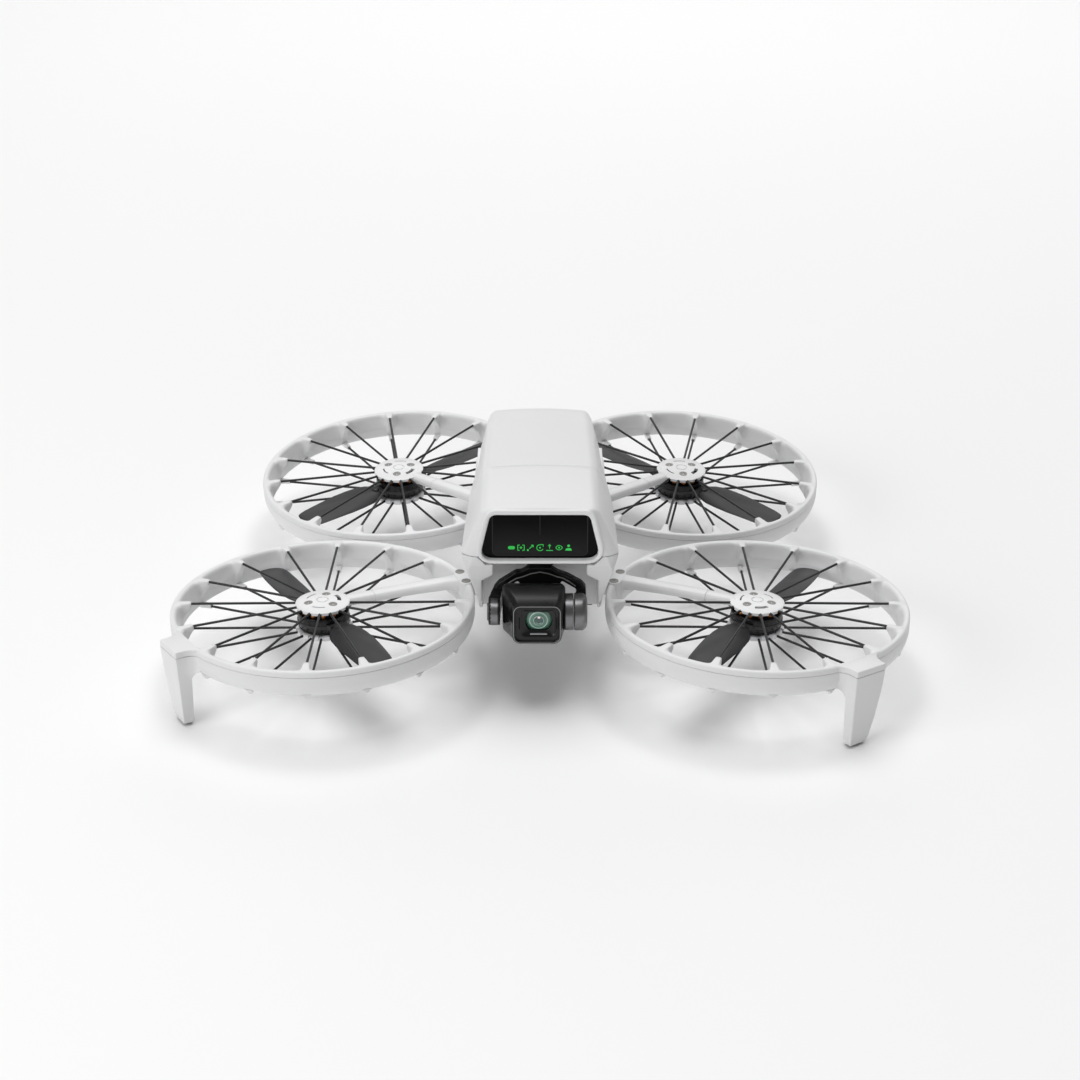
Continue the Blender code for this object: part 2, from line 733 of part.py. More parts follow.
def make_body(hinges):
    cells_room = (Vector((-17.5, -26, DATUM + BATTERY_FLOOR + 1.2)), Vector((17.5, 28, DATUM + 33.2)))
    battery = pivot("battery_slide_axis", (0, TAIL_Y, DATUM + 25))
    piece("upper_shell", make_upper_shell(), "white")
    piece("lower_shell", make_lower_shell(hinges), "white")
    piece("front_window", window_prism(-GAP, -76.4, -74.9), "gloss")
    display = box((-15.0, -73.6, DATUM + 29.2), (15.0, -71.8, DATUM + 40.4))
    piece("status_display", display, "black")
    piece("belly_cover", box((-11.0, -37.6, DATUM - 7.3), (11.0, -10.4, DATUM - 4.2)), "white")
    piece("main_board", box((-14.8, -48.5, DATUM - 1.0), (14.8, -6, DATUM + 0.8)), "board")
    piece("heat_sink", box((-12, -46, DATUM + 1.2), (12, -22, DATUM + 6.0)), "grey")
    piece("downward_sensor", sensor_mesh(), "gloss")
    piece("charging_socket", box((-4.5, 24.5, DATUM + 5.0), (4.5, 33.4, DATUM + 8.0)), "steel")
    mode = pivot("mode_button_axis", (-25.5, *MODE_BUTTON))
    piece("mode_button", rod((-23.0, *MODE_BUTTON), (-26.3, *MODE_BUTTON), 2.5, 20), "grey", None, mode)
    piece("battery_shell", make_battery(cells_room), "white", None, battery)
    piece("battery_cells", box(*cells_room), "cell", None, battery)
    for side, word in ((-1, "left"), (1, "right")):
        piece(f"{word}_buckle", buckle_mesh(side), "white", None, battery)
    cap = cylinder(3.0, 0, 2.2, 24)
    cap = moved(cap, Matrix.Translation((0, 32.9, DATUM + 22)) @ Matrix.Rotation(-math.pi / 2, 4, "X"))
    piece("power_button", cap, "grey", None, battery)


def sensor_mesh():
    """The downward camera's window, set into the belly behind the cover."""
    return box((-9.0, -8.6, DATUM + BELLY - 0.5), (9.0, -1.4, DATUM + BELLY - GAP))


# ---- gimbal ---------------------------------------------------------------------------------


def along_x(radius, low, high, at, sides=20):
    return rod((low, at.y, at.z), (high, at.y, at.z), radius, sides)


def along_y(radius, low, high, at, sides=20):
    return rod((at.x, low, at.z), (at.x, high, at.z), radius, sides)


def housing_mesh():
    """Camera block: wide at the back, narrowing to a square hood."""

    def section(y, x0, x1, z0, z1, c):
        ring = [
            (x1, z0 + c), (x1 - c, z0), (x0 + c, z0), (x0, z0 + c),
            (x0, z1 - c), (x0 + c, z1), (x1 - c, z1), (x1, z1 - c),
        ]
        return [(x, y, DATUM + z) for x, z in ring]

    body = loft(
        [
            section(-72.0, -12.0, 8.6, -1.0, 10.5, 3.0),
            section(-75.0, -13.6, 8.6, -2.2, 15.2, 2.6),
            section(-81.0, -12.9, 8.6, -2.6, 16.4, 2.4),
            section(-86.2, -10.3, 7.9, -2.7, 13.4, 3.0),
            section(-88.2, -10.0, 7.6, -2.4, 13.1, 3.0),
        ]
    )
    bore = along_y(5.2, -90, -80.2, Vector((-0.6, 0, DATUM + 5.9)), 24)
    return cut(body, bore)


def make_gimbal():
    yaw = pivot("gimbal_yaw_axis", YAW_AXIS)
    roll = pivot("gimbal_roll_axis", ROLL_AXIS, yaw)
    tilt = pivot("gimbal_tilt_axis", TILT_AXIS, roll)
    piece("gimbal_mount", box((-8.9, -68.0, DATUM + 22.6), (8.9, -52.6, DATUM + 25.6)), "black")
    yaw_at = (YAW_AXIS.x, YAW_AXIS.y)
    piece("yaw_motor", cylinder(6.2, DATUM + 18.9, DATUM + 22.3, 20, yaw_at), "black")
    crown = cylinder(5.9, DATUM + 16.4, DATUM + 18.6, 20, yaw_at)
    stem = box((-3.4, -59.4, DATUM + 9.0), (3.4, -56.6, DATUM + 17.0))
    cup = along_y(5.4, -59.5, -56.4, ROLL_AXIS)
    piece("yaw_arm", union(crown, stem, cup), "black", None, yaw)
    piece("roll_motor", along_y(5.8, -64.9, -59.8, ROLL_AXIS), "black", None, roll)
    piece("roll_frame", roll_frame_mesh(), "black", None, roll)
    at = TILT_AXIS
    piece("tilt_motor", along_x(6.9, 12.6, 17.4, at), "black", None, roll)
    piece("camera_housing", union(housing_mesh(), along_x(6.6, 8.2, 12.3, at)), "black", None, tilt)
    lens_at = Vector((-0.6, 0, DATUM + 5.9))
    barrel = rod((-0.6, -80.6, lens_at.z), (-0.6, -84.0, lens_at.z), 4.9, 24)
    piece("lens_barrel", barrel, "black", None, tilt)
    piece("lens_glass", lens_mesh(lens_at), "glass", None, tilt)


def lens_mesh(at):
    """A domed front element."""
    rings = []
    for radius, y in ((4.3, -84.4), (4.3, -84.9), (3.1, -85.7), (1.4, -86.2)):
        ring = []
        for i in range(24):
            angle = 2 * math.pi * i / 24
            ring.append((at.x + radius * math.cos(angle), y, at.z + radius * math.sin(angle)))
        rings.append(ring)
    return loft(rings)


def roll_frame_mesh():
    """The arch behind the camera, with one arm forward to the bearing and one to the tilt motor."""
    outline = [
        (-17.2, 2.6), (-17.2, 10.0), (-15.4, 12.4), (-9.0, 16.8), (-7.0, 17.0), (-4.0, 18.8), (4.0, 18.8),
        (7.0, 16.6), (10.0, 15.6), (15.4, 12.4), (17.0, 10.4), (17.0, 2.6),
        (13.6, 2.6), (13.6, 9.6), (8.0, 13.2), (5.0, 4.2), (-5.0, 4.2), (-8.0, 13.2), (-13.6, 9.6), (-13.6, 2.6),
    ]
    arch = loft([[(x, y, DATUM + z) for x, z in outline] for y in (-68.4, -65.2)])
    left_arm = arm_loft(
        [
            (-65.4, -17.1, -13.7, 2.8, 10.0),
            (-74.0, -19.1, -14.6, 2.0, 9.4),
            (-77.0, -19.1, -14.6, 2.0, 9.0),
        ]
    )
    right_arm = arm_loft([(-65.4, 13.7, 16.9, 2.8, 10.0), (-69.8, 13.2, 17.1, 2.4, 9.6)])
    bearing = along_x(5.0, -19.0, -14.7, TILT_AXIS)
    return union(arch, left_arm, right_arm, bearing)


def arm_loft(stations):
    """One side arm of the arch, from its root behind the camera forward, as (y, x from, x to, z from, z to)."""
    return loft(
        [
            [(x0, y, DATUM + z0), (x1, y, DATUM + z0), (x1, y, DATUM + z1), (x0, y, DATUM + z1)]
            for y, x0, x1, z0, z1 in stations
        ]
    )


def main():
    clear_scene()
    hinges = []
    for row in ("front", "rear"):
        for side in (-1, 1):
            hinges.append(make_arm(side, row))
    make_body(hinges)
    make_gimbal()


main()
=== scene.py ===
"""Looks for a small folding quadcopter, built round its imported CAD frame.

Lengths are in millimetres until a mesh is made. The nose looks along -Y and the ground is z = 0.
"""

import json
import math

import bmesh
import bpy
from mathutils import Matrix, Vector

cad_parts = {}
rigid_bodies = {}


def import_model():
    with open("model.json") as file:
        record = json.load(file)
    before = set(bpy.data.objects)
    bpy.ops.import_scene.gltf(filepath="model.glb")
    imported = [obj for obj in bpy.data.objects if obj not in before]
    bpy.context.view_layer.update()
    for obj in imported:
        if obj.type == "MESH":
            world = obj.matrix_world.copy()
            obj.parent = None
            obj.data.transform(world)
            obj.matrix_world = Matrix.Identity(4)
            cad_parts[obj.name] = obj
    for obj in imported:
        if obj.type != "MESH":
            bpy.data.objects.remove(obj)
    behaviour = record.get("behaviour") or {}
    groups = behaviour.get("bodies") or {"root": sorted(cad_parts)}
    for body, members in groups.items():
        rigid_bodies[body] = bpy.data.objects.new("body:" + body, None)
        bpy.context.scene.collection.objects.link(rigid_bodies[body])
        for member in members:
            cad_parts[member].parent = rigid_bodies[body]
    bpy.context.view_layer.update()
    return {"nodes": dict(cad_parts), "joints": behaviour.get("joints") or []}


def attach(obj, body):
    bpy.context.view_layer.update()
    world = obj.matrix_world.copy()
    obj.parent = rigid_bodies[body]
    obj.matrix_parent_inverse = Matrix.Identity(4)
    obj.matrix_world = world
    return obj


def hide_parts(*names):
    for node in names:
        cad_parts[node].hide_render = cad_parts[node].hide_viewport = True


MM = 0.001
DATUM = 31.0  # height of the hub plates above the ground
SPOKES = 16
SECTOR = 2 * math.pi / SPOKES
FIRST_SPOKE = {"front": math.radians(-1.8), "rear": math.radians(-14.9)}
BEAM_SPOKE = {"front": 1, "rear": 15}
REAR_RIGHT_TWIST = math.radians(2.3)
BLADE_ANGLE = {"front": math.radians(-60), "rear": math.radians(40)}
LEG_ANGLE = {-1: math.radians(-147.4), 1: math.radians(-54.9)}
SCREW_ANGLE = {"front": 80, "rear": 25}
ROD_R = 0.48
RING_R = 57.2
UPPER_ROD_Z, LOWER_ROD_Z = -0.75, -11.1
SEAM_Y = -37.0  # between the nose shell and the battery
WAIST_Z = 28.0  # the widest level, above the hub plates

for old in list(bpy.data.objects):
    bpy.data.objects.remove(old, do_unlink=True)
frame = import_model()
joints = {joint["name"]: joint for joint in frame["joints"]}

# ---- materials ------------------------------------------------------------------------------


def finish(
    name, colour, rough, metal=0.0, grain=0.0, scale=2600.0, fleck=0.03, coat=0.0, glow=0.0, stretch=None,
    shine=0.5, painted_light_fade=None,
):
    """A surface with fine variation of colour and roughness, and a fine relief."""
    made = bpy.data.materials.new(name)
    made.use_nodes = True
    nodes, links = made.node_tree.nodes, made.node_tree.links
    shader = nodes["Principled BSDF"]
    shader.inputs["Metallic"].default_value = metal
    shader.inputs["Coat Weight"].default_value = coat
    shader.inputs["Specular IOR Level"].default_value = shine
    shader.inputs["Coat Roughness"].default_value = 0.08
    if glow:
        shader.inputs["Emission Color"].default_value = (*colour, 1)
        shader.inputs["Emission Strength"].default_value = glow
    place = nodes.new("ShaderNodeTexCoord")
    mapping = nodes.new("ShaderNodeMapping")
    mapping.inputs["Scale"].default_value = stretch or (1, 1, 1)
    links.new(place.outputs["Object"], mapping.inputs["Vector"])
    fine = nodes.new("ShaderNodeTexNoise")
    fine.inputs["Scale"].default_value = scale
    fine.inputs["Detail"].default_value = 3
    broad = nodes.new("ShaderNodeTexNoise")
    broad.inputs["Scale"].default_value = 90
    broad.inputs["Detail"].default_value = 4
    links.new(mapping.outputs["Vector"], fine.inputs["Vector"])
    links.new(mapping.outputs["Vector"], broad.inputs["Vector"])
    both = nodes.new("ShaderNodeMath")
    both.operation = "ADD"
    links.new(fine.outputs["Fac"], both.inputs[0])
    links.new(broad.outputs["Fac"], both.inputs[1])
    tone = nodes.new("ShaderNodeMapRange")
    tone.inputs["From Min"].default_value = 0.6
    tone.inputs["From Max"].default_value = 1.4
    mix = nodes.new("ShaderNodeMix")
    mix.data_type = "RGBA"
    mix.inputs["A"].default_value = (*[c * (1 - fleck) for c in colour], 1)
    mix.inputs["B"].default_value = (*[min(1, c * (1 + fleck)) for c in colour], 1)
    links.new(both.outputs[0], tone.inputs["Value"])
    links.new(tone.outputs[0], mix.inputs["Factor"])
    links.new(mix.outputs["Result"], shader.inputs["Base Color"])
    # Painted light: when asked, the colour runs from another shade at a low level into the surface's own at
    # a high one, standing in for light and shade on the display.
    if painted_light_fade:  # another shade at the low level, blending into the surface's own at the high one
        low, high, shade = painted_light_fade
        split = nodes.new("ShaderNodeSeparateXYZ")
        links.new(place.outputs["Object"], split.inputs[0])
        ramp = nodes.new("ShaderNodeMapRange")
        ramp.inputs["From Min"].default_value = low * MM
        ramp.inputs["From Max"].default_value = high * MM
        links.new(split.outputs["Z"], ramp.inputs["Value"])
        blend = nodes.new("ShaderNodeMix")
        blend.data_type = "RGBA"
        blend.inputs["A"].default_value = (*shade, 1)
        links.new(ramp.outputs[0], blend.inputs["Factor"])
        links.new(mix.outputs["Result"], blend.inputs["B"])
        links.new(blend.outputs["Result"], shader.inputs["Base Color"])
    dull = nodes.new("ShaderNodeMapRange")
    dull.inputs["From Min"].default_value = 0.3
    dull.inputs["From Max"].default_value = 0.7
    dull.inputs["To Min"].default_value = rough * 0.88
    dull.inputs["To Max"].default_value = min(1, rough * 1.12)
    links.new(broad.outputs["Fac"], dull.inputs["Value"])
    links.new(dull.outputs[0], shader.inputs["Roughness"])
    if grain:
        bump = nodes.new("ShaderNodeBump")
        bump.inputs["Strength"].default_value = grain
        bump.inputs["Distance"].default_value = 0.0001
        links.new(fine.outputs["Fac"], bump.inputs["Height"])
        links.new(bump.outputs["Normal"], shader.inputs["Normal"])
    return made


# name: (material, the record's slot)
FINISH = {
    "white": (
        finish("moulded_white", (0.79, 0.79, 0.795), 0.42, grain=0.10, scale=3200, fleck=0.012), "white",
    ),
    "satin_white": (finish("polished_white", (0.81, 0.81, 0.815), 0.3, grain=0.03, fleck=0.01), "white"),
    "clear": (
        finish("translucent_white", (0.74, 0.745, 0.76), 0.22, grain=0.02, fleck=0.04, coat=0.4), "white",
    ),
    "carbon": (
        finish(
            "pultruded_carbon", (0.018, 0.018, 0.019), 0.42, grain=0.25, scale=5200, fleck=0.4, shine=0.45,
        ),
        "carbon",
    ),
    "blade": (
        finish("blade_nylon", (0.036, 0.036, 0.038), 0.44, grain=0.10, scale=4200, fleck=0.08, shine=0.35),
        "black",
    ),
    "motor": (
        finish("anodised_black", (0.006, 0.006, 0.007), 0.26, grain=0.03, fleck=0.2, shine=0.35), "black",
    ),
    "black": (
        finish("gimbal_black", (0.007, 0.007, 0.0075), 0.3, grain=0.05, scale=4000, fleck=0.12, shine=0.36),
        "black",
    ),
    "sheen": (
        finish("turned_black", (0.22, 0.22, 0.225), 0.34, metal=0.9, fleck=0.04, scale=900, shine=0.4),
        "black",
    ),
    "copper": (
        finish("enamelled_copper", (0.5, 0.19, 0.06), 0.32, metal=0.9, grain=0.2, scale=6000, fleck=0.2),
        "copper",
    ),
    "screw": (finish("screw_grey", (0.3, 0.295, 0.28), 0.45, metal=0.4, fleck=0.06), "steel"),
    "grey": (finish("hinge_grey", (0.13, 0.13, 0.135), 0.4, grain=0.08, fleck=0.06), "grey"),
    "button": (finish("button_grey", (0.36, 0.36, 0.37), 0.5, grain=0.1, fleck=0.04), "grey"),
    "gloss": (finish("window_black", (0.003, 0.003, 0.003), 0.16, fleck=0.1, shine=0.08), "gloss"),
    # painted light: the display's black is lighter towards its bottom edge, a painted gradient for light on
    # the recessed screen
    "panel": (
        finish(
            "display_black", (0.003, 0.003, 0.003), 0.4, fleck=0.15, grain=0.04, shine=0.08,
            painted_light_fade=(DATUM + 28, DATUM + 41, (0.02, 0.02, 0.0205)),
        ),
        "black",
    ),
    # painted highlight: a lighter black for the display's border, standing in for light caught on the recess
    # walls
    "panel_painted_highlight": (
        finish("display_painted_highlight", (0.022, 0.022, 0.023), 0.4, fleck=0.1, grain=0.04, shine=0.2), "black",
    ),
    "icon": (finish("icon_green", (0.02, 0.42, 0.06), 0.5, glow=0.55, fleck=0.02), "black"),
    "rubber": (finish("foot_rubber", (0.05, 0.05, 0.051), 0.8, grain=0.3, scale=1800, fleck=0.1), "rubber"),
    "steel": (
        finish(
            "brushed_pin", (0.55, 0.55, 0.56), 0.32, metal=1.0, grain=0.15, scale=1500,
            stretch=(1, 1, 0.05),
        ),
        "steel",
    ),
    "board": (finish("lacquered_board", (0.015, 0.12, 0.05), 0.35, fleck=0.15, coat=0.5), "board"),
    "cell": (
        finish("foil_cells", (0.25, 0.27, 0.3), 0.35, metal=0.4, grain=0.3, scale=500, fleck=0.08), "cell",
    ),
    "glass": (finish("coated_lens", (0.07, 0.2, 0.14), 0.06, fleck=0.1, coat=1.0), "glass"),
    "glass_pale": (finish("lens_ring", (0.42, 0.6, 0.52), 0.18, fleck=0.06, coat=0.8), "glass"),
    "glass_deep": (finish("inner_lens", (0.02, 0.075, 0.06), 0.04, fleck=0.1, coat=1.0), "glass"),
    # painted highlight: a faintly glowing pinkish colour for a reflection spot on the lens
    "glint": (finish("lens_glint", (0.9, 0.68, 0.72), 0.2, glow=0.35, fleck=0.02), "glass"),
}

# ---- meshes ---------------------------------------------------------------------------------


def loft(rings, caps=True):
    bm = bmesh.new()
    rows = [[bm.verts.new(p) for p in ring] for ring in rings]
    count = len(rows[0])
    for a, b in zip(rows, rows[1:]):
        for i in range(count):
            j = (i + 1) % count
            bm.faces.new((a[i], a[j], b[j], b[i]))
    if caps:
        bm.faces.new(reversed(rows[0]))
        bm.faces.new(rows[-1])
    return bm


def lathe(profile, sides=64):
    """A turned body from an (r, z) outline: open with its ends on the axis, or closed and off the axis."""
    closed = min(r for r, z in profile) > 0
    rows = [[polar(max(r, 1e-6), 2 * math.pi * i / sides, z) for i in range(sides)] for r, z in profile]
    bm = loft(rows + rows[:1] if closed else rows, caps=False)
    bmesh.ops.remove_doubles(bm, verts=bm.verts, dist=1e-4)
    return bm


def polar(radius, angle, z=0.0):
    return Vector((radius * math.cos(angle), radius * math.sin(angle), z))


def prism(outline, low, high):
    return loft([[Vector((x, y, z)) for x, y in outline] for z in (low, high)])


def circle(radius, sides=32, centre=(0, 0)):
    turns = [2 * math.pi * i / sides for i in range(sides)]
    return [(centre[0] + radius * math.cos(t), centre[1] + radius * math.sin(t)) for t in turns]


def facing(way):
    return Vector(way).normalized().to_track_quat("Z", "Y").to_matrix().to_4x4()


def rod(start, end, radius, sides=10):
    start, end = Vector(start), Vector(end)
    bm = prism(circle(radius, sides), 0, (end - start).length)
    bm.transform(Matrix.Translation(start) @ facing(end - start))
    return bm


def moved(bm, place):
    bm.transform(place)
    return bm


def together(parts):
    bm = bmesh.new()
    for part in parts:
        mesh = bpy.data.meshes.new("part")
        part.to_mesh(mesh)
        part.free()
        bm.from_mesh(mesh)
        bpy.data.meshes.remove(mesh)
    return bm


def solid(bm):
    mesh = bpy.data.meshes.new("solid")
    bmesh.ops.recalc_face_normals(bm, faces=bm.faces)
    bm.to_mesh(mesh)
    bm.free()
    made = bpy.data.objects.new("solid", mesh)
    bpy.context.scene.collection.objects.link(made)
    return made


def carved(bm, cutters, operation="DIFFERENCE"):
    body = solid(bm)
    tools = [solid(cutter) for cutter in cutters]
    for tool in tools:
        step = body.modifiers.new("cut", "BOOLEAN")
        step.object, step.operation, step.solver = tool, operation, "EXACT"
    return baked(body, tools)


def baked(body, tools=()):
    """The object's mesh with its modifiers applied; the object and its tools are removed."""
    shape = body.evaluated_get(bpy.context.evaluated_depsgraph_get()).to_mesh()
    bm = bmesh.new()
    bm.from_mesh(shape)
    for item in (body, *tools):
        mesh = item.data
        bpy.data.objects.remove(item)
        bpy.data.meshes.remove(mesh)
    return bm


def piece(name, bm, look, body, place=None, stands_for=(), sharp=35, bevel=0.0, steps=2, recalc=True):
    if recalc:
        bmesh.ops.recalc_face_normals(bm, faces=bm.faces)
    bm.transform(Matrix.Scale(MM, 4) @ (place or Matrix()))
    mesh = bpy.data.meshes.new(name)
    bm.to_mesh(mesh)
    bm.free()
    mesh.polygons.foreach_set("use_smooth", [True] * len(mesh.polygons))
    mesh.set_sharp_from_angle(angle=math.radians(sharp))
    material, slot = FINISH[look]
    mesh.materials.append(material)
    made = bpy.data.objects.new(name, mesh)
    bpy.context.scene.collection.objects.link(made)
    if bevel:
        edge = made.modifiers.new("edge", "BEVEL")
        edge.width, edge.segments = bevel * MM, steps
        edge.limit_method, edge.angle_limit = "ANGLE", math.radians(28)
        edge.harden_normals = True
    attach(made, body)
    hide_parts(*stands_for)
    return made


def softened(node, voxel, rounds, keep=0.35):
    """A CAD node's own shape with its edges rounded off, in millimetres."""
    mesh = frame["nodes"][node].data.copy()
    mesh.transform(Matrix.Scale(1 / MM, 4))
    body = bpy.data.objects.new("soft", mesh)
    bpy.context.scene.collection.objects.link(body)
    remesh = body.modifiers.new("remesh", "REMESH")
    remesh.mode, remesh.voxel_size = "VOXEL", voxel
    smooth = body.modifiers.new("smooth", "SMOOTH")
    smooth.factor, smooth.iterations = 0.5, rounds
    fewer = body.modifiers.new("fewer", "DECIMATE")
    fewer.ratio = keep
    return baked(body)


def between(table, x):
    """Straight-line interpolation in a table of (x, value) pairs."""
    if x <= table[0][0]:
        return table[0][1]
    for (x0, v0), (x1, v1) in zip(table, table[1:]):
        if x <= x1:
            return v0 + (v1 - v0) * (x - x0) / (x1 - x0)
    return table[-1][1]


# ---- guards ---------------------------------------------------------------------------------

# Rim section from the parting groove over the top, down inside and back up outside: each point's plain
# (r, z), then its place on a spoke fin. FIN gives a fin's strength at distances along the rim.
RIM = [
    ((56.6, -3.0), None),
    ((57.2, -2.84), None),
    ((57.24, -2.0), None),
    ((57.16, -1.2), None),
    ((56.95, -0.76), None),
    ((56.55, -0.55), None),
    ((55.9, -0.56), (55.7, -0.5)),
    ((55.3, -0.78), (53.8, -0.34)),
    ((54.9, -1.15), (51.8, -0.14)),
    ((54.66, -1.75), (50.2, -0.08)),
    ((54.5, -2.6), (49.8, -0.4)),
    ((54.36, -3.7), (49.75, -1.7)),
    ((54.15, -5.0), (50.5, -2.9)),
    ((53.86, -6.3), (51.9, -4.8)),
    ((53.6, -7.2), (53.0, -6.7)),
    ((53.66, -7.5), (53.3, -7.6)),
    ((53.85, -9.2), (53.6, -9.2)),
    ((54.0, -10.7), None),
    ((54.15, -11.15), None),
    ((54.6, -11.2), None),
    ((55.2, -10.8), None),
    ((55.9, -10.0), None),
    ((56.45, -9.0), None),
    ((56.85, -7.8), None),
    ((57.12, -6.5), None),
    ((57.24, -5.2), None),
    ((57.22, -4.0), None),
    ((57.08, -3.14), None),
]
FIN = [
    (0, 1), (0.55, 1), (0.95, 0.985), (1.2, 0.93), (1.38, 0.8), (1.5, 0.6), (1.65, 0.42), (1.95, 0.27),
    (2.4, 0.17), (3.0, 0.1), (3.8, 0.045), (5.0, 0.012), (7.0, 0), (9.2, 0),
]


def ring_place(side, row):
    """The ring's own frame: its hub centre, and its lean, from the propeller's axis."""
    spin = joints[f"{row}_{'left' if side < 0 else 'right'}_spin"]
    axis = Vector(spin["axis"]).normalized()
    centre = Vector(spin["pos_m"]) / MM + axis * 6.0
    lean = Matrix.Rotation(-math.atan2(axis.y, axis.z), 4, "X") @ Matrix.Rotation(math.asin(axis.x), 4, "Y")
    return Matrix.Translation(centre) @ lean


def mirrored(side, angle):
    return angle if side < 0 else math.pi - angle


def beam_angle(side, row):
    return mirrored(side, FIRST_SPOKE[row] + SECTOR * BEAM_SPOKE[row])


def spoke_angle(side, row, k):
    twist = REAR_RIGHT_TWIST if (side, row) == (1, "rear") else 0.0
    return mirrored(side, FIRST_SPOKE[row] + SECTOR * k) - twist


def rim(side, row):
    half = RING_R * SECTOR / 2
    offsets = [-half] + [-x for x, _ in reversed(FIN[1:])] + [x for x, _ in FIN]
    columns = []
    for k in range(SPOKES):
        centre = spoke_angle(side, row, k)
        step = -1 if side > 0 else 1
        for x in offsets:
            weight = between(FIN, abs(x))
            angle = centre + step * x / RING_R
            column = []
            for plain, fin in RIM:
                r, z = plain
                if fin:
                    r, z = r + (fin[0] - r) * weight, z + (fin[1] - z) * weight
                column.append(polar(r, angle, z))
            columns.append(column)
    return loft(columns + columns[:1], caps=False)


def nub(angle):
    """A fin under the rim, with the small block that holds a lower spoke's end."""
    sections = [
        (49.7, 0.8, 0.8, -10.3, -11.9),
        (52.2, 0.85, 0.8, -10.2, -12.05),
        (53.4, 1.2, 0.75, -10.3, -12.25),
        (54.8, 1.9, 0.6, -10.6, -12.35),
        (55.8, 1.6, 0.5, -10.4, -11.7),
    ]
    rings = []
    for r, top, low, high, deep in sections:
        outline = [
            (top, high), (low * 1.15, deep + 0.45), (low * 0.6, deep), (-low * 0.6, deep),
            (-low * 1.15, deep + 0.45), (-top, high),
        ]
        rings.append([Vector((r, x, z)) for x, z in outline])
    return moved(loft(rings), Matrix.Rotation(angle, 4, "Z"))


def beam(angle):
    """The arm from the hub to the rim, in two lengths with a seam between them."""
    sections = [
        (9.2, 2.0, 2.6, 0.0, -3.1),
        (19.55, 2.1, 2.75, 0.06, -3.1),
        (19.65, 1.9, 2.55, -0.12, -3.0),
        (19.8, 1.9, 2.55, -0.12, -3.0),
        (19.9, 2.3, 2.95, 0.14, -3.2),
        (36.0, 2.3, 3.0, 0.12, -3.3),
        (48.5, 2.3, 3.1, 0.0, -3.8),
        (52.0, 2.7, 3.5, -0.1, -4.6),
        (54.2, 3.5, 4.3, -0.25, -6.0),
        (56.2, 4.8, 5.2, -0.5, -7.0),
    ]
    rings = []
    for r, top, low, high, deep in sections:
        right = [(low * 0.7, deep), (low, deep + 0.5), (low, (deep + high) / 2)]
        right += [(top + 0.12, high - 0.4), (top - 0.35, high)]
        outline = right + [(-x, z) for x, z in reversed(right)]
        rings.append([Vector((r, x, z)) for x, z in outline])
    return moved(loft(rings), Matrix.Rotation(angle, 4, "Z"))


def screw(radius, depth=0.5):
    """A flat screw head with a cross recess, its face at z = 0."""
    head = lathe([(0, 0), (radius * 0.85, 0), (radius, -0.1), (radius, -depth), (0, -depth)], 28)
    arm, wide = radius * 0.42, radius * 0.11
    bar = [(-arm, -wide), (arm, -wide), (arm, wide), (-arm, wide)]
    crossing = moved(prism(bar, -0.25, 1), Matrix.Rotation(math.pi / 2, 4, "Z"))
    return carved(head, [prism(bar, -0.25, 1), crossing])


def plate_top(r):
    return 0.62 - 0.9 * (r / 10.3) ** 2


def arc_slot(radius, angle, spread, wide, low, high):
    steps = [angle - spread + 2 * spread * i / 8 for i in range(9)]
    outer = [polar(radius + wide, t).xy for t in steps]
    inner = [polar(radius - wide, t).xy for t in reversed(steps)]
    return prism([(p.x, p.y) for p in outer + inner], low, high)


def hub(name, arm, place, side, row):
    """The domed hub plate: notched for the spokes, with four screws and three curved slots."""
    top = [(r, plate_top(r)) for r in (0, 3, 5, 7, 9, 9.9)]
    top += [(10.25, -0.36), (10.3, -0.6), (10.1, -0.75), (0, -0.75)]
    first = math.radians(SCREW_ANGLE[row])
    cutters = []
    screws = []
    for k in range(3):
        turn = mirrored(side, first + k * 2 * math.pi / 3)
        between_screws = turn + math.pi / 3
        cutters.append(moved(prism(circle(1.66), 0.12, 3), Matrix.Translation(polar(5.5, turn, 0))))
        cutters.append(arc_slot(6.3, between_screws, 0.4, 0.75 if k == 2 else 0.3, -2, 3))
        screws.append(moved(screw(1.62), Matrix.Translation(polar(5.5, turn, 0.36))))
    cutters.append(lathe([(1.95, 0.2), (2.35, 0.2), (2.35, 3), (1.95, 3)], 40))
    plate = carved(lathe(top, 96), cutters)
    teeth = []
    for k in range(SPOKES):
        middle = spoke_angle(side, row, k) + SECTOR / 2
        spread = SECTOR / 2 - 0.068
        steps = [middle - spread + 2 * spread * i / 4 for i in range(5)]
        ring = [polar(10.12, t).xy for t in steps] + [polar(8.4, t).xy for t in reversed(steps)]
        teeth.append(prism([(p.x, p.y) for p in ring], -1.5, -0.5))
    piece(
        f"{name}_hub_plate", together([plate, *teeth]), "satin_white", arm, place, [f"{name}_upper_spokes"],
        sharp=30,
    )
    core = lathe([(0, -0.7), (8.5, -0.7), (8.5, -1.7), (0, -1.7)], 48)
    piece(f"{name}_hub_core", core, "motor", arm, place)
    middle = moved(screw(1.5), Matrix.Translation((0, 0, 0.5)))
    piece(f"{name}_hub_screws", together(screws), "screw", arm, place)
    piece(f"{name}_hub_middle_screw", middle, "satin_white", arm, place)


def spokes(side, row, height, inner, outer, skip=None):
    turns = [spoke_angle(side, row, k) for k in range(SPOKES) if k != skip]
    return together([rod(polar(inner, t, height), polar(outer, t, height), ROD_R, 12) for t in turns])


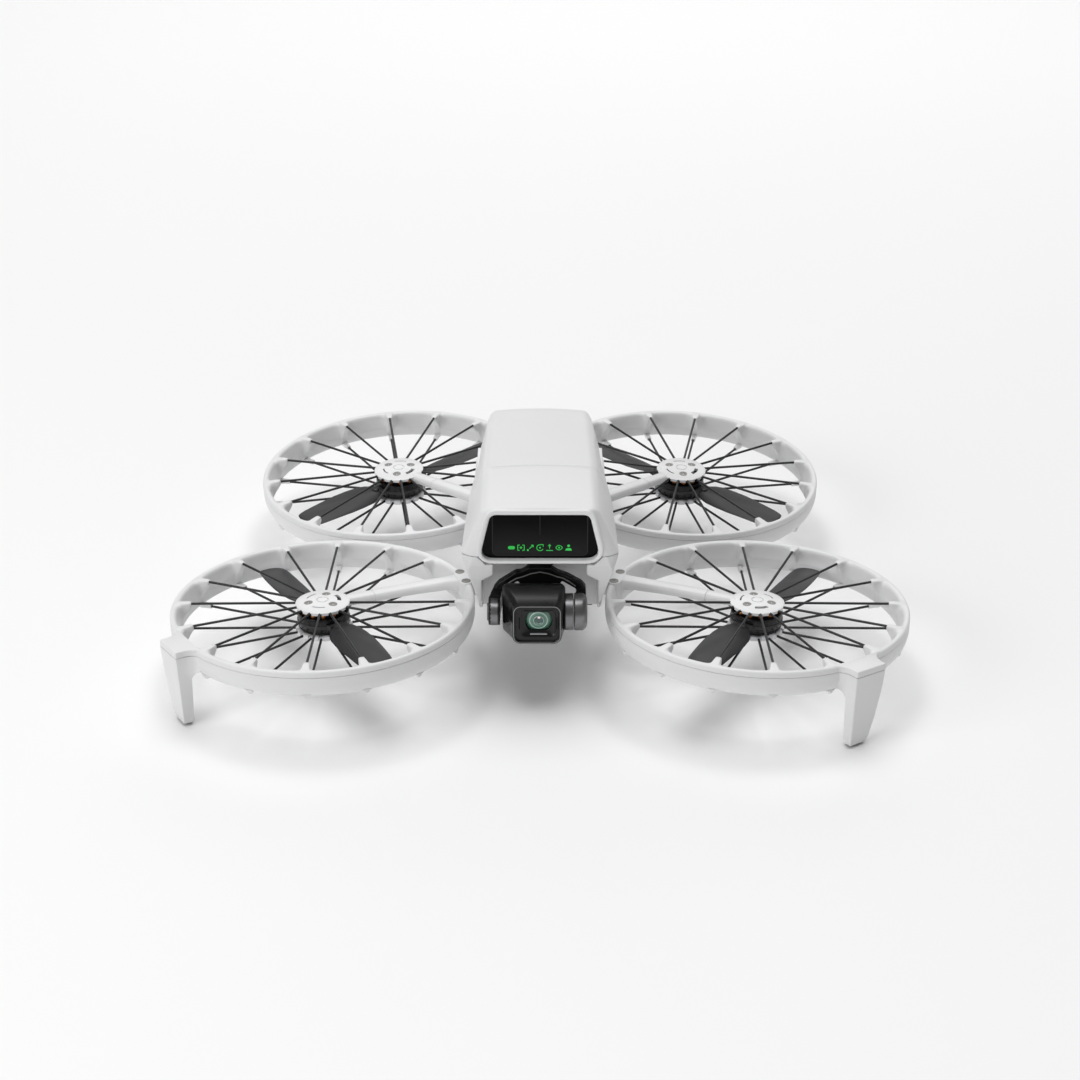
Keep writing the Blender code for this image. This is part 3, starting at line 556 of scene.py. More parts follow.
def motor(name, arm, prop, place, side, row):
    """Windings on the still side, and a black cup that turns with the blades."""
    coils = []
    for k in range(12):
        turn = k * math.pi / 6 + 0.1
        spot = Matrix.Translation(polar(7.5, turn, -3.0)) @ Matrix.Rotation(turn, 4, "Z")
        coil = lathe(
            [(0, -1.1), (0.85, -1.0), (1.15, -0.55), (1.2, 0), (1.15, 0.55), (0.85, 1.0), (0, 1.1)], 14,
        )
        coils.append(moved(coil, spot @ Matrix.Scale(0.8, 4)))
    piece(f"{name}_windings", together(coils), "copper", arm, place, [f"{name}_stator"])
    mount = lathe(
        [
            (0, -1.6), (7.2, -1.6), (7.2, -3.4), (8.3, -3.4), (8.3, -6.5), (1.4, -6.5), (1.4, -10.6),
            (0, -10.6),
        ],
        48,
    )
    piece(f"{name}_motor_mount", mount, "motor", arm, place)
    outline = [
        (1.8, -10.1), (8.7, -10.1), (9.35, -9.8), (9.6, -9.3), (9.6, -9.1), (9.42, -9.0), (9.42, -8.8),
        (9.62, -8.7), (9.75, -8.5), (9.75, -3.9), (9.6, -3.55), (9.3, -3.5), (8.9, -3.6), (8.9, -8.6),
        (1.8, -8.6),
    ]
    piece(f"{name}_bell", lathe(outline, 72), "motor", prop, place, [f"{name}_motor_bell"])
    ring = lathe(
        [
            (8.3, -10.45), (9.6, -10.45), (10.35, -10.65), (10.45, -10.9), (10.45, -11.6), (10.2, -11.85),
            (0.001, -11.85), (0.001, -10.7), (8.3, -10.7),
        ],
        72,
    )
    teeth = []
    for k in range(SPOKES):
        middle = spoke_angle(side, row, k) + SECTOR / 2
        steps = [middle - 0.11 + 0.22 * i / 3 for i in range(4)]
        outline = [polar(10.75, t).xy for t in steps] + [polar(9.0, t).xy for t in reversed(steps)]
        teeth.append(prism([(p.x, p.y) for p in outline], -11.75, -10.05))
    piece(
        f"{name}_lower_disc", together([ring, *teeth]), "clear", arm, place, [f"{name}_lower_spokes"],
        sharp=30, bevel=0.12, steps=1,
    )


BLADE = [  # radius, half chord, pitch in degrees, sweep of the mid chord, half thickness
    (9.9, 2.7, 17, 0.0, 1.0), (11.5, 3.0, 17, 0.0, 0.95), (13.4, 3.9, 17, 0.1, 0.8),
    (15.0, 4.9, 16, 0.2, 0.65), (18.0, 5.9, 14, 0.3, 0.55), (23.0, 6.5, 12, 0.4, 0.5),
    (29.0, 6.7, 11, 0.4, 0.46), (35.0, 6.5, 9.5, 0.3, 0.42), (40.0, 6.3, 8.5, 0.1, 0.38),
    (44.5, 6.0, 8, -0.1, 0.34), (47.2, 5.6, 7, -0.2, 0.3), (48.6, 5.1, 7, -0.3, 0.26),
    (49.3, 4.2, 7, -0.4, 0.2), (49.65, 2.8, 7, -0.5, 0.12),
]


def blade(angle, hand):
    rings = []
    for r, half, pitch, sweep, thick in BLADE:
        across = Vector((-math.sin(angle), math.cos(angle), 0))
        tilt = math.tan(math.radians(pitch)) * hand
        ring = []
        for i in range(20):
            t = 2 * math.pi * i / 20
            c, s = math.cos(t), math.sin(t)
            u = c * half
            camber = 0.45 * (1 - c * c) * min(1, half / 6)
            z = -6.4 + u * tilt + camber + s * thick * (1 - 0.35 * c * hand)
            ring.append(polar(r, angle, 0) + across * (u + sweep * hand) + Vector((0, 0, z)))
        rings.append(ring)
    return loft(rings)


def propeller(name, prop, place, side, row):
    hand = side * (-1 if row == "front" else 1)
    first = mirrored(side, BLADE_ANGLE[row])
    blades = [blade(first + turn, hand) for turn in (0, math.pi)]
    piece(f"{name}_blades", together(blades), "blade", prop, place, [f"{name}_propeller"], sharp=50)
    collar = lathe([(9.6, -6.2), (9.9, -6.2), (9.98, -6.3), (9.98, -7.2), (9.9, -7.3), (9.6, -7.3)], 72)
    clamps = []
    for turn in (0, math.pi):
        boss = lathe([(0, 0.7), (1.1, 0.7), (1.45, 0.5), (1.6, -1.2), (0, -1.2)], 28)
        clamps.append(moved(boss, Matrix.Translation(polar(12.6, first + turn, -5.4))))
        block = prism([(9.9, -3.3), (12.0, -2.7), (12.0, 2.7), (9.9, 3.3)], -7.4, -5.4)
        clamps.append(moved(block, Matrix.Rotation(first + turn, 4, "Z")))
    piece(f"{name}_blade_collar", together([collar, *clamps]), "blade", prop, place, sharp=35, bevel=0.2)


def leg(name, arm, side, place):
    """A leg that grows out of the rim under a flat cap, and its rubber foot."""
    angle = LEG_ANGLE[side]
    out = polar(1, angle)
    along = Vector((-math.sin(angle), math.cos(angle), 0)) * (1 if side > 0 else -1)
    centre = place.translation
    lean = place.to_3x3() @ Vector((0, 0, 1))

    def level(height, from_ring, near, far, flare, inner, outer=63.8, inset=0.0):
        """One level outline. The height counts from the ring's own plane, or from the ground."""
        ring = []
        for sign, half in ((1, far), (-1, near)):
            half -= inset
            side_points = [
                (outer - inset, half - 0.75), (outer - inset - 0.06, half - 0.36),
                (outer - inset - 0.26, half - 0.08), (outer - inset - 0.62, half),
            ]
            for i in range(7):
                t = math.pi / 2 * i / 6
                side_points.append((61.4 - (61.4 - inner) * math.sin(t), half + flare * (1 - math.cos(t))))
            side_points.append((min(inner, 60.2) - 0.6, half + flare * 1.1 - 0.7 * (flare < 0.1)))
            points = [(r, sign * w) for r, w in side_points]
            ring += points if sign > 0 else list(reversed(points))
        world = []
        for r, w in ring:
            at = centre + out * r + along * w
            drop = centre.z - ((at.x - centre.x) * lean.x + (at.y - centre.y) * lean.y) / lean.z
            world.append(Vector((at.x, at.y, drop + height if from_ring else height)))
        return world

    cap = [
        level(-0.5, True, 6.9, 6.9, 4.4, 55.7, inset=0.55),
        level(-0.62, True, 6.9, 6.9, 4.4, 55.7, inset=0.2),
        level(-1.0, True, 6.9, 6.9, 4.4, 55.7),
        level(-2.86, True, 6.9, 6.9, 4.4, 55.7),
        level(-2.92, True, 6.9, 6.9, 4.4, 55.7, inset=0.42),
        level(-3.14, True, 6.9, 6.9, 4.4, 55.7, inset=0.42),
        level(-3.2, True, 6.9, 6.9, 4.4, 55.7),
        level(-5.5, True, 6.9, 6.7, 4.4, 55.7, 63.7),
        level(-7.6, True, 6.9, 6.5, 4.2, 55.8, 63.6),
        level(-8.9, True, 6.9, 6.4, 3.4, 56.2, 63.55),
        level(-9.8, True, 6.9, 6.3, 2.2, 56.9, 63.5),
        level(-10.7, True, 6.9, 6.15, 1.0, 57.5, 63.45),
        level(-11.8, True, 6.9, 6.0, 0.3, 58.1, 63.4),
        level(-13.2, True, 6.9, 5.7, 0.0, 58.3, 63.3),
        level(10.0, False, 6.9, 4.0, 0.0, 58.4, 62.95),
        level(3.0, False, 6.9, 2.0, 0.0, 58.5, 62.6),
        level(0.9, False, 6.9, 1.2, 0.0, 58.6, 62.5, inset=0.1),
        level(0.4, False, 6.9, 1.0, 0.0, 58.8, 62.45, inset=0.45),
    ]
    piece(f"{name}_leg_shell", loft(cap), "white", arm, None, [f"{name}_leg"], sharp=40)
    pad = [
        level(1.0, False, 6.9, 1.0, 0.0, 59.0, 62.4, inset=0.7),
        level(0.2, False, 6.9, 0.9, 0.0, 59.0, 62.3, inset=0.7),
        level(0.0, False, 6.9, 0.9, 0.0, 59.2, 62.2, inset=0.95),
    ]
    piece(f"{name}_foot_pad", loft(pad), "rubber", arm, None, [f"{name}_foot"])


def rounded_bar(start, end, half_across, half_deep, up, taper=1.0):
    way = (end - start).normalized()
    across = (up - way * up.dot(way)).normalized()
    deep = way.cross(across)
    rings = []
    for at, grow in ((start, 1.0), (end, taper)):
        ring = []
        for i in range(24):
            t = 2 * math.pi * i / 24
            c, s = math.cos(t), math.sin(t)
            x = math.copysign(abs(c) ** 0.45, c) * half_across * grow
            z = math.copysign(abs(s) ** 0.45, s) * half_deep * grow
            ring.append(at + across * x + deep * z)
        rings.append(ring)
    return loft(rings)


def hinge(name, arm, side, row, place):
    """The arm's lug and barrel and the bracket's ears on the body; on a front arm also its clamp pad and two
    clamp screws.
    """
    fold = joints[f"{name}_fold"]
    at = Vector(fold["pos_m"]) / MM
    axis = Vector(fold["axis"]).normalized()
    rim_point = place @ polar(55.6, beam_angle(side, row), -3.4)
    lug = rounded_bar(at, rim_point, 2.9, 2.5, axis, 1.15)
    barrel = lathe([(1.4, 3.55), (2.6, 3.55), (3.0, 3.2), (3.0, -3.2), (2.6, -3.55), (1.4, -3.55)], 40)
    barrel = moved(barrel, Matrix.Translation(at) @ facing(axis))
    piece(f"{name}_lug", together([lug, barrel]), "white", arm, None, sharp=40)
    ears = []
    for sign in (-1, 1):
        outward = Matrix.Translation(at) @ facing(axis * sign)
        ear = lathe([(1.4, 3.95), (2.8, 3.95), (3.2, 4.3), (3.2, 5.6), (2.7, 6.1), (1.4, 6.1)], 40)
        pin_end = lathe([(0, 6.35), (0.9, 6.35), (1.05, 6.2), (1.05, 5.0), (0, 5.0)], 20)
        ears += [moved(ear, outward), moved(pin_end, outward)]
    piece(f"{name}_hinge_ears", together(ears), "grey", "body", None, sharp=35)
    if row != "front":
        return
    spots = [place.inverted() @ Vector((side * x, y, DATUM)) for x, y in ((30.9, -36.2), (28.2, -44.6))]
    turns = [k * math.pi / 12 for k in range(24)]
    pad = [p.xy + Vector((math.cos(t), math.sin(t))) * 2.35 for p in spots for t in turns]
    pad += [p.xy * 0.955 for p in spots]
    hull = bmesh.new()
    for p in pad:
        for z in (0.05, -6.2):
            hull.verts.new((p.x, p.y, z))
    bmesh.ops.convex_hull(hull, input=hull.verts)
    bmesh.ops.dissolve_limit(hull, angle_limit=0.02, verts=hull.verts, edges=hull.edges)
    piece(f"{name}_clamp_pad", hull, "white", arm, place, bevel=0.45, steps=3)
    heads = [moved(screw(1.5), Matrix.Translation((p.x, p.y, 0.3))) for p in spots]
    rings = [lathe([(1.5, 0.3), (1.75, 0.22), (1.75, -0.3), (1.5, -0.3)], 28) for _ in spots]
    collars = [moved(ring, Matrix.Translation((p.x, p.y, 0.05))) for ring, p in zip(rings, spots)]
    piece(f"{name}_clamp_screws", together(heads + collars), "screw", arm, place, sharp=30)


def make_arm(side, row):
    name = f"{row}_{'left' if side < 0 else 'right'}"
    arm, prop, place = f"{name}_arm", f"{name}_prop", ring_place(side, row)
    nubs = [nub(spoke_angle(side, row, k)) for k in range(SPOKES)]
    piece(f"{name}_rim", together([rim(side, row), *nubs]), "white", arm, place, [f"{name}_guard"], sharp=42)
    piece(f"{name}_beam", beam(beam_angle(side, row)), "white", arm, place, sharp=42)
    upper = spokes(side, row, UPPER_ROD_Z, 8.2, 50.4, skip=BEAM_SPOKE[row])
    piece(f"{name}_upper_rods", upper, "carbon", arm, place)
    piece(f"{name}_lower_rods", spokes(side, row, LOWER_ROD_Z, 9.2, 50.2), "carbon", arm, place)
    hub(name, arm, place, side, row)
    motor(name, arm, prop, place, side, row)
    propeller(name, prop, place, side, row)
    hinge(name, arm, side, row, place)
    if row == "front":
        leg(name, arm, side, place)


for row in ("front", "rear"):
    for side in (-1, 1):
        make_arm(side, row)

# ---- body -----------------------------------------------------------------------------------

STATIONS = (-80.0, -77.6, -76.4, -75.0, -72.0, -66.0, -58.0, -30.0, -13.0, 0.0, 15.0, 30.0, 36.0)
LOW = list(zip(STATIONS, (18.5, 20.0, 21.0, 21.8, 22.2, 22.8, 23.6, 24.2, 24.0, 23.6, 23.2, 21.6, 19.2)))
WAIST = list(zip(STATIONS, (21.6, 24.8, 27.2, 28.9, 29.0, 28.7, 28.5, 27.4, 25.8, 24.8, 24.0, 22.6, 20.0)))
ROOF = list(zip(STATIONS, (15.8, 17.4, 18.6, 19.2, 19.4, 19.4, 19.4, 18.8, 18.4, 18.2, 17.8, 17.2, 15.4)))


def half_width(y, z):
    low, waist, roof = between(LOW, y), between(WAIST, y), between(ROOF, y)
    if z < WAIST_Z:
        return low + (waist - low) * (z - 3.4) / (WAIST_Z - 3.4)
    return waist + (roof - waist) * (z - WAIST_Z) / 22


CROWN = 0.8


def upper_section(y, floor, inset, roof_z, corner, slant=0.0):
    """A closed outline across the body: flat floor, leaning sides, soft roof edges and a crowned roof."""
    roof_z -= inset + CROWN * 0.7
    edge = half_width(y, roof_z) - inset
    right = []
    shoulder = roof_z - corner * 1.05
    levels = [floor, floor + 0.4] + [z for z in (16, 20, 24, 27, 27.7, 28.3, 29) if z > floor + 0.5]
    levels += [29 + (shoulder - 29) * part for part in (0.25, 0.5, 0.75)]
    for z in levels:
        right.append((half_width(y, z) - inset - (0.25 if z == floor else 0), z))
    lean = math.atan2(half_width(y, roof_z - 12) - half_width(y, roof_z), 12)
    reach = corner * math.tan((math.pi / 2 - lean) / 2)
    centre = (edge - reach, roof_z - corner)
    for i in range(9):
        t = lean + (math.pi / 2 - lean) * i / 8
        right.append((centre[0] + corner * math.cos(t), centre[1] + corner * math.sin(t)))
    for part in (0.75, 0.5, 0.25):
        right.append((centre[0] * part, roof_z + CROWN * (1 - part * part)))
    left = [(-x, z) for x, z in reversed(right)]
    points = right + [(0, roof_z + CROWN)] + left
    shift = slant * 0.8 / 17.6
    return [Vector((x, y + shift * (z - WAIST_Z), DATUM + z)) for x, z in points]


def roof_height(y):
    if y < SEAM_Y:
        return 47.42 - 0.00169 * (y + 66) ** 2
    return 46.0 - 0.0978 * (y - SEAM_Y)


def shell(floor, stations):
    """A closed body shell from (y, inset, drop of the roof, corner radius) stations."""
    rings = []
    for y, inset, drop, corner in stations:
        slant = max(0.0, min(1.0, (-70 - y) / 7.0))
        rings.append(upper_section(y, floor, inset, roof_height(y) - drop, corner, slant))
    count = min(len(ring) for ring in rings)
    assert count == max(len(ring) for ring in rings), "stations differ in their points"
    return loft(rings)


def rounded_rect(x0, x1, z0, z1, r, top_r=None):
    points = []
    for cx, cz, turn, radius in (
        (x1, z1, 0, top_r or r), (x0, z1, 90, top_r or r), (x0, z0, 180, r), (x1, z0, 270, r),
    ):
        sx, sz = (1 if cx == x1 else -1), (1 if cz == z1 else -1)
        for i in range(7):
            t = math.radians(turn + 90 * i / 6)
            points.append((cx - sx * radius + radius * math.cos(t), cz - sz * radius + radius * math.sin(t)))
    return points


def window_outline(grow, bottom=22.3, top=18.0, low=26.5, high=44.7):
    """The nose window as (x, z): a trapezoid with tight upper corners and wide lower ones."""
    foot, head = Vector((bottom, low)), Vector((top, high))
    side = (head - foot).normalized()
    foot_r, head_r = 5.8, 2.38
    bends = [
        (Vector((bottom - foot_r, low)), foot, foot + side * foot_r),
        (head - side * head_r, head, Vector((top - head_r, high))),
    ]
    right = []
    for start, corner, end in bends:
        for i in range(9):
            t = i / 8
            right.append(start * (1 - t) ** 2 + corner * 2 * t * (1 - t) + end * t * t)
    points = right + [Vector((-p.x, p.y)) for p in reversed(right)]
    if not grow:
        return points
    grown = []
    for i, p in enumerate(points):
        way = (points[(i + 1) % len(points)] - points[i - 1]).normalized()
        grown.append(p + Vector((way.y, -way.x)) * grow)
    return grown


def across(outline, y):
    """A flat outline of (x, z) points stood up facing the front, leaning as the nose does."""
    return [Vector((p[0], y + (p[1] - WAIST_Z) * 0.045, DATUM + p[1])) for p in outline]


NOSE = [
    (-77.7, 0.5, 0.3, 2.2), (-77.4, 0.2, 0.2, 2.4), (-77.0, 0.06, 0.1, 2.6), (-76.6, 0.0, 0.05, 2.8),
    (-76.2, 0.0, 0.0, 3.1), (-75.6, 0.0, 0.0, 3.5),
]
FRONT = NOSE + [(y, 0.0, 0.0, 4.4) for y in (-74.9, -74.2, -72, -69, -66, -62, -58, -52, -46, -40, -37.3)]
FRONT += [(SEAM_Y - 0.1, 0.12, 0.0, 4.4)]
REAR = [(SEAM_Y + 0.1, 0.12, 0.0, 4.4), (SEAM_Y + 0.3, 0.0, 0.0, 4.4)]
REAR += [(y, 0.0, 0.0, 4.2) for y in (-30, -22, -13, -6, 0, 8, 15, 22, 28)]
REAR += [
    (31.0, 0.0, 0.0, 3.8), (32.2, 0.25, 0.1, 3.6), (33.3, 0.8, 0.35, 3.6), (34.2, 1.6, 0.7, 3.6),
    (34.75, 2.6, 1.1, 3.4), (35.0, 4.2, 1.5, 3.2),
]

nose = shell(28.15, FRONT)
nose = carved(nose, [loft([across(window_outline(0.0), -79), across(window_outline(0.0), -73.4)])])
piece("nose_shell", nose, "white", "body", None, ["upper_shell"], sharp=32)
lip = loft([
    across(window_outline(0.0), -77.5),
    across(window_outline(0.05), -78.0),
    across(window_outline(0.4), -78.3),
    across(window_outline(1.4, low=27.1), -78.35),
    across(window_outline(1.8, low=27.35), -78.25),
    across(window_outline(2.0, low=27.5), -77.9),
    across(window_outline(2.0, low=27.5), -76.0),
    across(window_outline(0.0), -74.0),
    across(window_outline(0.0), -77.5),
], caps=False)
piece("window_bezel", lip, "satin_white", "body", None, sharp=60)

pack = shell(12.15, REAR)
pockets = [softened(f"{word}_buckle", 0.5, 0, 1.0) for word in ("left", "right")]
for pocket, sign in zip(pockets, (-1, 1)):
    centre = sum((v.co for v in pocket.verts), Vector()) / len(pocket.verts)
    pocket.transform(Matrix.Translation(-centre))
    pocket.transform(Matrix.Diagonal((1.6, 1.035, 1.045, 1)))
    pocket.transform(Matrix.Translation(centre + Vector((sign * 0.6, 0, 0))))
button_at = Matrix.Translation((0, 33.0, DATUM + 22)) @ Matrix.Rotation(-math.pi / 2, 4, "X")
pack = carved(pack, [*pockets, moved(prism(circle(3.35), 0, 6), button_at)])
piece("battery_cover", pack, "white", "battery", None, ["battery_shell"], sharp=32)
for word, sign in (("left", -1), ("right", 1)):
    ribs = []
    for k in range(5):
        z = DATUM + 19.5 + k * 1.9
        lean = (z - DATUM - 15.5) / 15.5 * 1.1
        ribs.append(rod((sign * (25.72 - lean), -3.5, z), (sign * (25.72 - lean), 8.5, z), 0.42, 10))
    buckle = f"{word}_buckle"
    plate = together([softened(buckle, 0.3, 3), *ribs])
    piece(f"{word}_buckle_plate", plate, "satin_white", buckle, None, [buckle], sharp=40)

recess = prism([(-15.5, -81), (15.5, -81), (15.5, -75.4), (-15.5, -75.4)], DATUM + 20, DATUM + 25.3)
lower = carved(softened("lower_shell", 0.3, 2, 0.3), [recess])
piece("lower_body", lower, "white", "body", None, ["lower_shell"], sharp=45)

# window: gloss pane, recessed display, centre line and a row of lit pictograms
pane = loft([across(window_outline(-0.05), -75.6), across(window_outline(-0.05), -74.0)])
piece("window_pane", pane, "gloss", "body", None, ["front_window"], sharp=30)

screen = loft([
    across(rounded_rect(-17.2, 17.2, 27.9, 44.2, 1.6, 1.0), -75.55),
    across(rounded_rect(-17.2, 17.2, 27.9, 44.2, 1.6, 1.0), -75.95),
    across(rounded_rect(-16.8, 16.8, 28.3, 43.8, 1.3, 0.8), -76.1),
])
piece("display_panel", screen, "panel", "body", None, sharp=25)
# painted highlight: a lighter ring round the display stands for light caught on its recess walls
outer = rounded_rect(-17.5, 17.5, 27.6, 44.2, 2.0, 0.9)
inner = rounded_rect(-17.15, 17.15, 27.95, 44.15, 1.6, 0.9)
border = [(outer, -75.6), (outer, -76.05), (inner, -76.05), (inner, -75.6), (outer, -75.6)]
border = loft([across(outline, y) for outline, y in border], caps=False)
piece("display_painted_highlight", border, "panel_painted_highlight", "body", None, sharp=25)
line = rounded_rect(-0.12, 0.12, 36.0, 43.7, 0.05)
piece("display_centre_line", loft([across(line, -76.16), across(line, -76.0)]), "motor", "body")

ICON_Y = -76.13


def stroke(points, wide=0.29):
    """A line of even width with round ends, as flat slabs seen from the front."""
    parts = []
    for a, b in zip(points, points[1:]):
        a, b = Vector(a), Vector(b)
        normal = Vector((a.y - b.y, b.x - a.x)).normalized() * wide / 2
        quad = [a + normal, a - normal, b - normal, b + normal]
        parts.append(loft([across(quad, ICON_Y - 0.03), across(quad, ICON_Y + 0.1)]))
    parts += [dot(p, wide / 2) for p in points]
    return parts


def dot(at, radius, sides=14):
    ring = circle(radius, sides, at)
    return loft([across(ring, ICON_Y - 0.03), across(ring, ICON_Y + 0.1)])


def arc(centre, radius, start, end, steps=14):
    turns = [math.radians(start + (end - start) * i / steps) for i in range(steps + 1)]
    return [(centre[0] + radius * math.cos(t), centre[1] + radius * math.sin(t)) for t in turns]


def pictograms(x0, z0, pitch):
    """Seven plain flight mode signs."""
    def at(k, points):
        return [(x0 + k * pitch + x, z0 + z) for x, z in points]

    parts = stroke(at(0, [(-0.62, 0), (0.62, 0)]), 1.3)
    bracket = [(0.6, 1.05), (1.15, 1.0), (1.2, 0.5), (1.2, -0.5), (1.15, -1.0), (0.6, -1.05)]
    for s in (-1, 1):
        parts += stroke(at(1, [(s * x, z) for x, z in bracket]))
    parts += stroke(at(1, [(0, -0.3), (0, 0.3)]), 0.42)
    parts += stroke(at(1, [(-0.3, 0), (0.3, 0)]), 0.42)
    parts += stroke(at(2, [(-0.35, -0.35), (1.0, 1.0), (0.35, 1.0)]))
    parts += stroke(at(2, [(1.0, 1.0), (1.0, 0.35)]))
    parts.append(dot(at(2, [(-0.95, -0.95)])[0], 0.36))
    parts += stroke(arc(at(3, [(0, 0)])[0], 1.2, 70, 330))
    parts += stroke(at(3, [(0.55, 1.3), (1.2, 1.15), (1.15, 0.5)]), 0.25)
    parts.append(dot(at(3, [(0, 0)])[0], 0.32))
    parts += stroke(at(4, [(0, -0.25), (0, 1.2)]))
    parts += stroke(at(4, [(-0.45, 0.75), (0, 1.25), (0.45, 0.75)]), 0.25)
    parts += stroke(at(4, [(-1.1, -1.1), (1.1, -1.1)]))
    lid = [(-1.25, 0), (-0.6, 0.72), (0, 0.9), (0.6, 0.72), (1.25, 0)]
    parts += stroke(at(5, lid + [(-x, -z) for x, z in lid[1:]]), 0.25)
    parts.append(dot(at(5, [(0, 0)])[0], 0.34))
    parts.append(dot(at(6, [(0, 0.75)])[0], 0.5, 20))
    shoulder = [(0.6, -0.2), (1.1, -0.65), (1.15, -1.15)]
    shoulders = at(6, [(-x, z) for x, z in reversed(shoulder)] + shoulder)
    parts.append(loft([across(shoulders, ICON_Y - 0.03), across(shoulders, ICON_Y + 0.1)]))
    return together(parts)


piece("display_signs", pictograms(-10.4, 30.9, 3.47), "icon", "body", sharp=60)

# ---- camera and gimbal ----------------------------------------------------------------------

LENS = (-0.5, 5.9)


def block(y, x0, x1, z0, z1, r):
    return [Vector((x, y, DATUM + z)) for x, z in rounded_rect(x0, x1, z0, z1, r)]


def bore(y, radius, flat=None):
    """A circle with as many points as a block's outline, clipped flat above and below when asked."""
    ring = []
    for i in range(28):
        t = (i // 7) * math.pi / 2 + (i % 7 + 0.5) * math.pi / 14
        z = radius * math.sin(t)
        if flat:
            z = max(-flat, min(flat, z))
        ring.append(Vector((LENS[0] + radius * math.cos(t), y, DATUM + LENS[1] + z)))
    return ring


def thread(points, y, radius):
    """A thin round line through (x, z) points in a plane that faces the front."""
    ends = [Vector((x, y, DATUM + z)) for x, z in points]
    return together([rod(a, b, radius, 8) for a, b in zip(ends, ends[1:])])


housing = [
    block(-71.9, -10.5, 7.0, -0.2, 9.0, 2.4), block(-72.3, -12.2, 8.4, -1.4, 11.2, 2.6),
    block(-74.2, -13.4, 9.0, -2.0, 14.6, 2.4), block(-75.2, -13.8, 9.2, -2.2, 15.9, 2.2),
    block(-77.0, -13.9, 9.3, -2.4, 16.7, 2.2), block(-79.0, -13.7, 9.3, -2.6, 16.9, 2.2),
    block(-80.0, -13.3, 9.1, -2.6, 16.75, 2.3), block(-84.5, -11.0, 8.4, -2.7, 14.6, 2.7),
    block(-86.4, -10.25, 8.05, -2.7, 13.7, 3.0), block(-87.6, -10.15, 7.95, -2.65, 13.45, 3.0),
    block(-88.05, -10.0, 7.8, -2.5, 13.3, 2.9), block(-88.2, -9.75, 7.55, -2.25, 13.05, 2.7),
    block(-88.2, -9.3, 7.1, -1.8, 12.6, 2.4), block(-88.0, -9.1, 6.9, -1.6, 12.4, 2.3),
    block(-87.2, -9.0, 6.8, -1.5, 12.3, 2.2), block(-87.05, -8.2, 6.6, -0.9, 11.9, 2.2),
    block(-87.15, -7.4, 6.2, -0.2, 11.5, 2.0), block(-87.0, -7.0, 5.8, 0.1, 11.1, 1.9),
    block(-86.5, -6.6, 5.5, 0.5, 10.8, 1.8), bore(-86.2, 5.25, 4.15), bore(-86.0, 5.0, 3.85),
    bore(-84.5, 4.9, 3.85), bore(-84.3, 4.9), bore(-82.0, 4.9),
]
piece("camera_body", loft(housing), "black", "camera", None, ["camera_housing", "lens_barrel"], sharp=38)
# painted highlight: a thin grey line round the hood's front face stands for light caught on its edge
front = rounded_rect(-9.62, 7.42, -2.12, 12.92, 2.6)
piece("camera_front_edge_highlight", thread(front + front[:1], -88.12, 0.14), "button", "camera")
# painted highlight: a grey strip under the lens stands for light on the hood's lower inner bevel
lip_highlight = rounded_rect(-3.6, 2.6, 0.85, 1.25, 0.18)
piece(
    "camera_front_lip_highlight", loft([[Vector((x, y, DATUM + z)) for x, z in lip_highlight] for y in (-87.12, -86.6)]),
    "button", "camera",
)
slits = []
for x in (-7.55, 6.1):
    slit = rounded_rect(x - 0.16, x + 0.16, 3.2, 8.0, 0.1)
    slits.append(loft([[Vector((px, y, DATUM + z)) for px, z in slit] for y in (-87.42, -87.1)]))
piece("camera_front_slits", together(slits), "gloss", "camera")


def toward_front(profile, x, z, y, sides=48):
    """A turned piece whose axis runs to the front. Its own z = 0 lies at y, and counts forward."""
    return moved(
        lathe(profile, sides), Matrix.Translation((x, y, DATUM + z)) @ Matrix.Rotation(math.pi / 2, 4, "X"),
    )


piece(
    "lens_front",
    toward_front(
        [(0, 0.75), (1.5, 0.7), (3.0, 0.45), (4.2, 0.1), (4.85, -0.2), (4.85, -0.8), (0, -0.8)], *LENS,
        -84.9,
    ),
    "glass", "camera", None, ["lens_glass"],
)
piece(
    "lens_pale_ring",
    toward_front([(3.05, 0.55), (3.3, 0.6), (3.5, 0.46), (3.5, 0.2), (3.05, 0.2)], *LENS, -84.93),
    "glass_pale", "camera",
)
piece(
    "lens_inner",
    toward_front([(0, 0.98), (0.9, 0.92), (1.7, 0.75), (2.1, 0.62), (2.1, 0.3), (0, 0.3)], *LENS, -84.92),
    "glass_deep", "camera",
)
piece(
    "lens_inner_ring",
    toward_front([(1.72, 0.82), (1.85, 0.84), (1.95, 0.76), (1.95, 0.5), (1.72, 0.5)], *LENS, -84.93),
    "glass_pale", "camera",
)

# painted highlight: a small glowing pinkish spot on the lens stands for a reflection
glint = toward_front(
    [(0, 0.12), (0.4, 0.08), (0.55, 0), (0.55, -0.2), (0, -0.2)], LENS[0] + 0.1, LENS[1] + 1.15, -85.72, 20,
)
piece("lens_glint", glint, "glint", "camera")
# painted highlight: a pale arc under the lens centre stands for a reflection in the glass
lower_arc_highlight = arc(LENS, 1.25, 215, 323, 9)
piece("lens_lower_arc_highlight", thread(lower_arc_highlight, -85.78, 0.13), "glass_pale", "camera")


def to_side(profile, x, y, z, sign, sides=56):
    """A turned piece whose axis runs along X, to the given side."""
    return moved(
        lathe(profile, sides),
        Matrix.Translation((x, y, DATUM + z)) @ Matrix.Rotation(sign * math.pi / 2, 4, "Y"),
    )


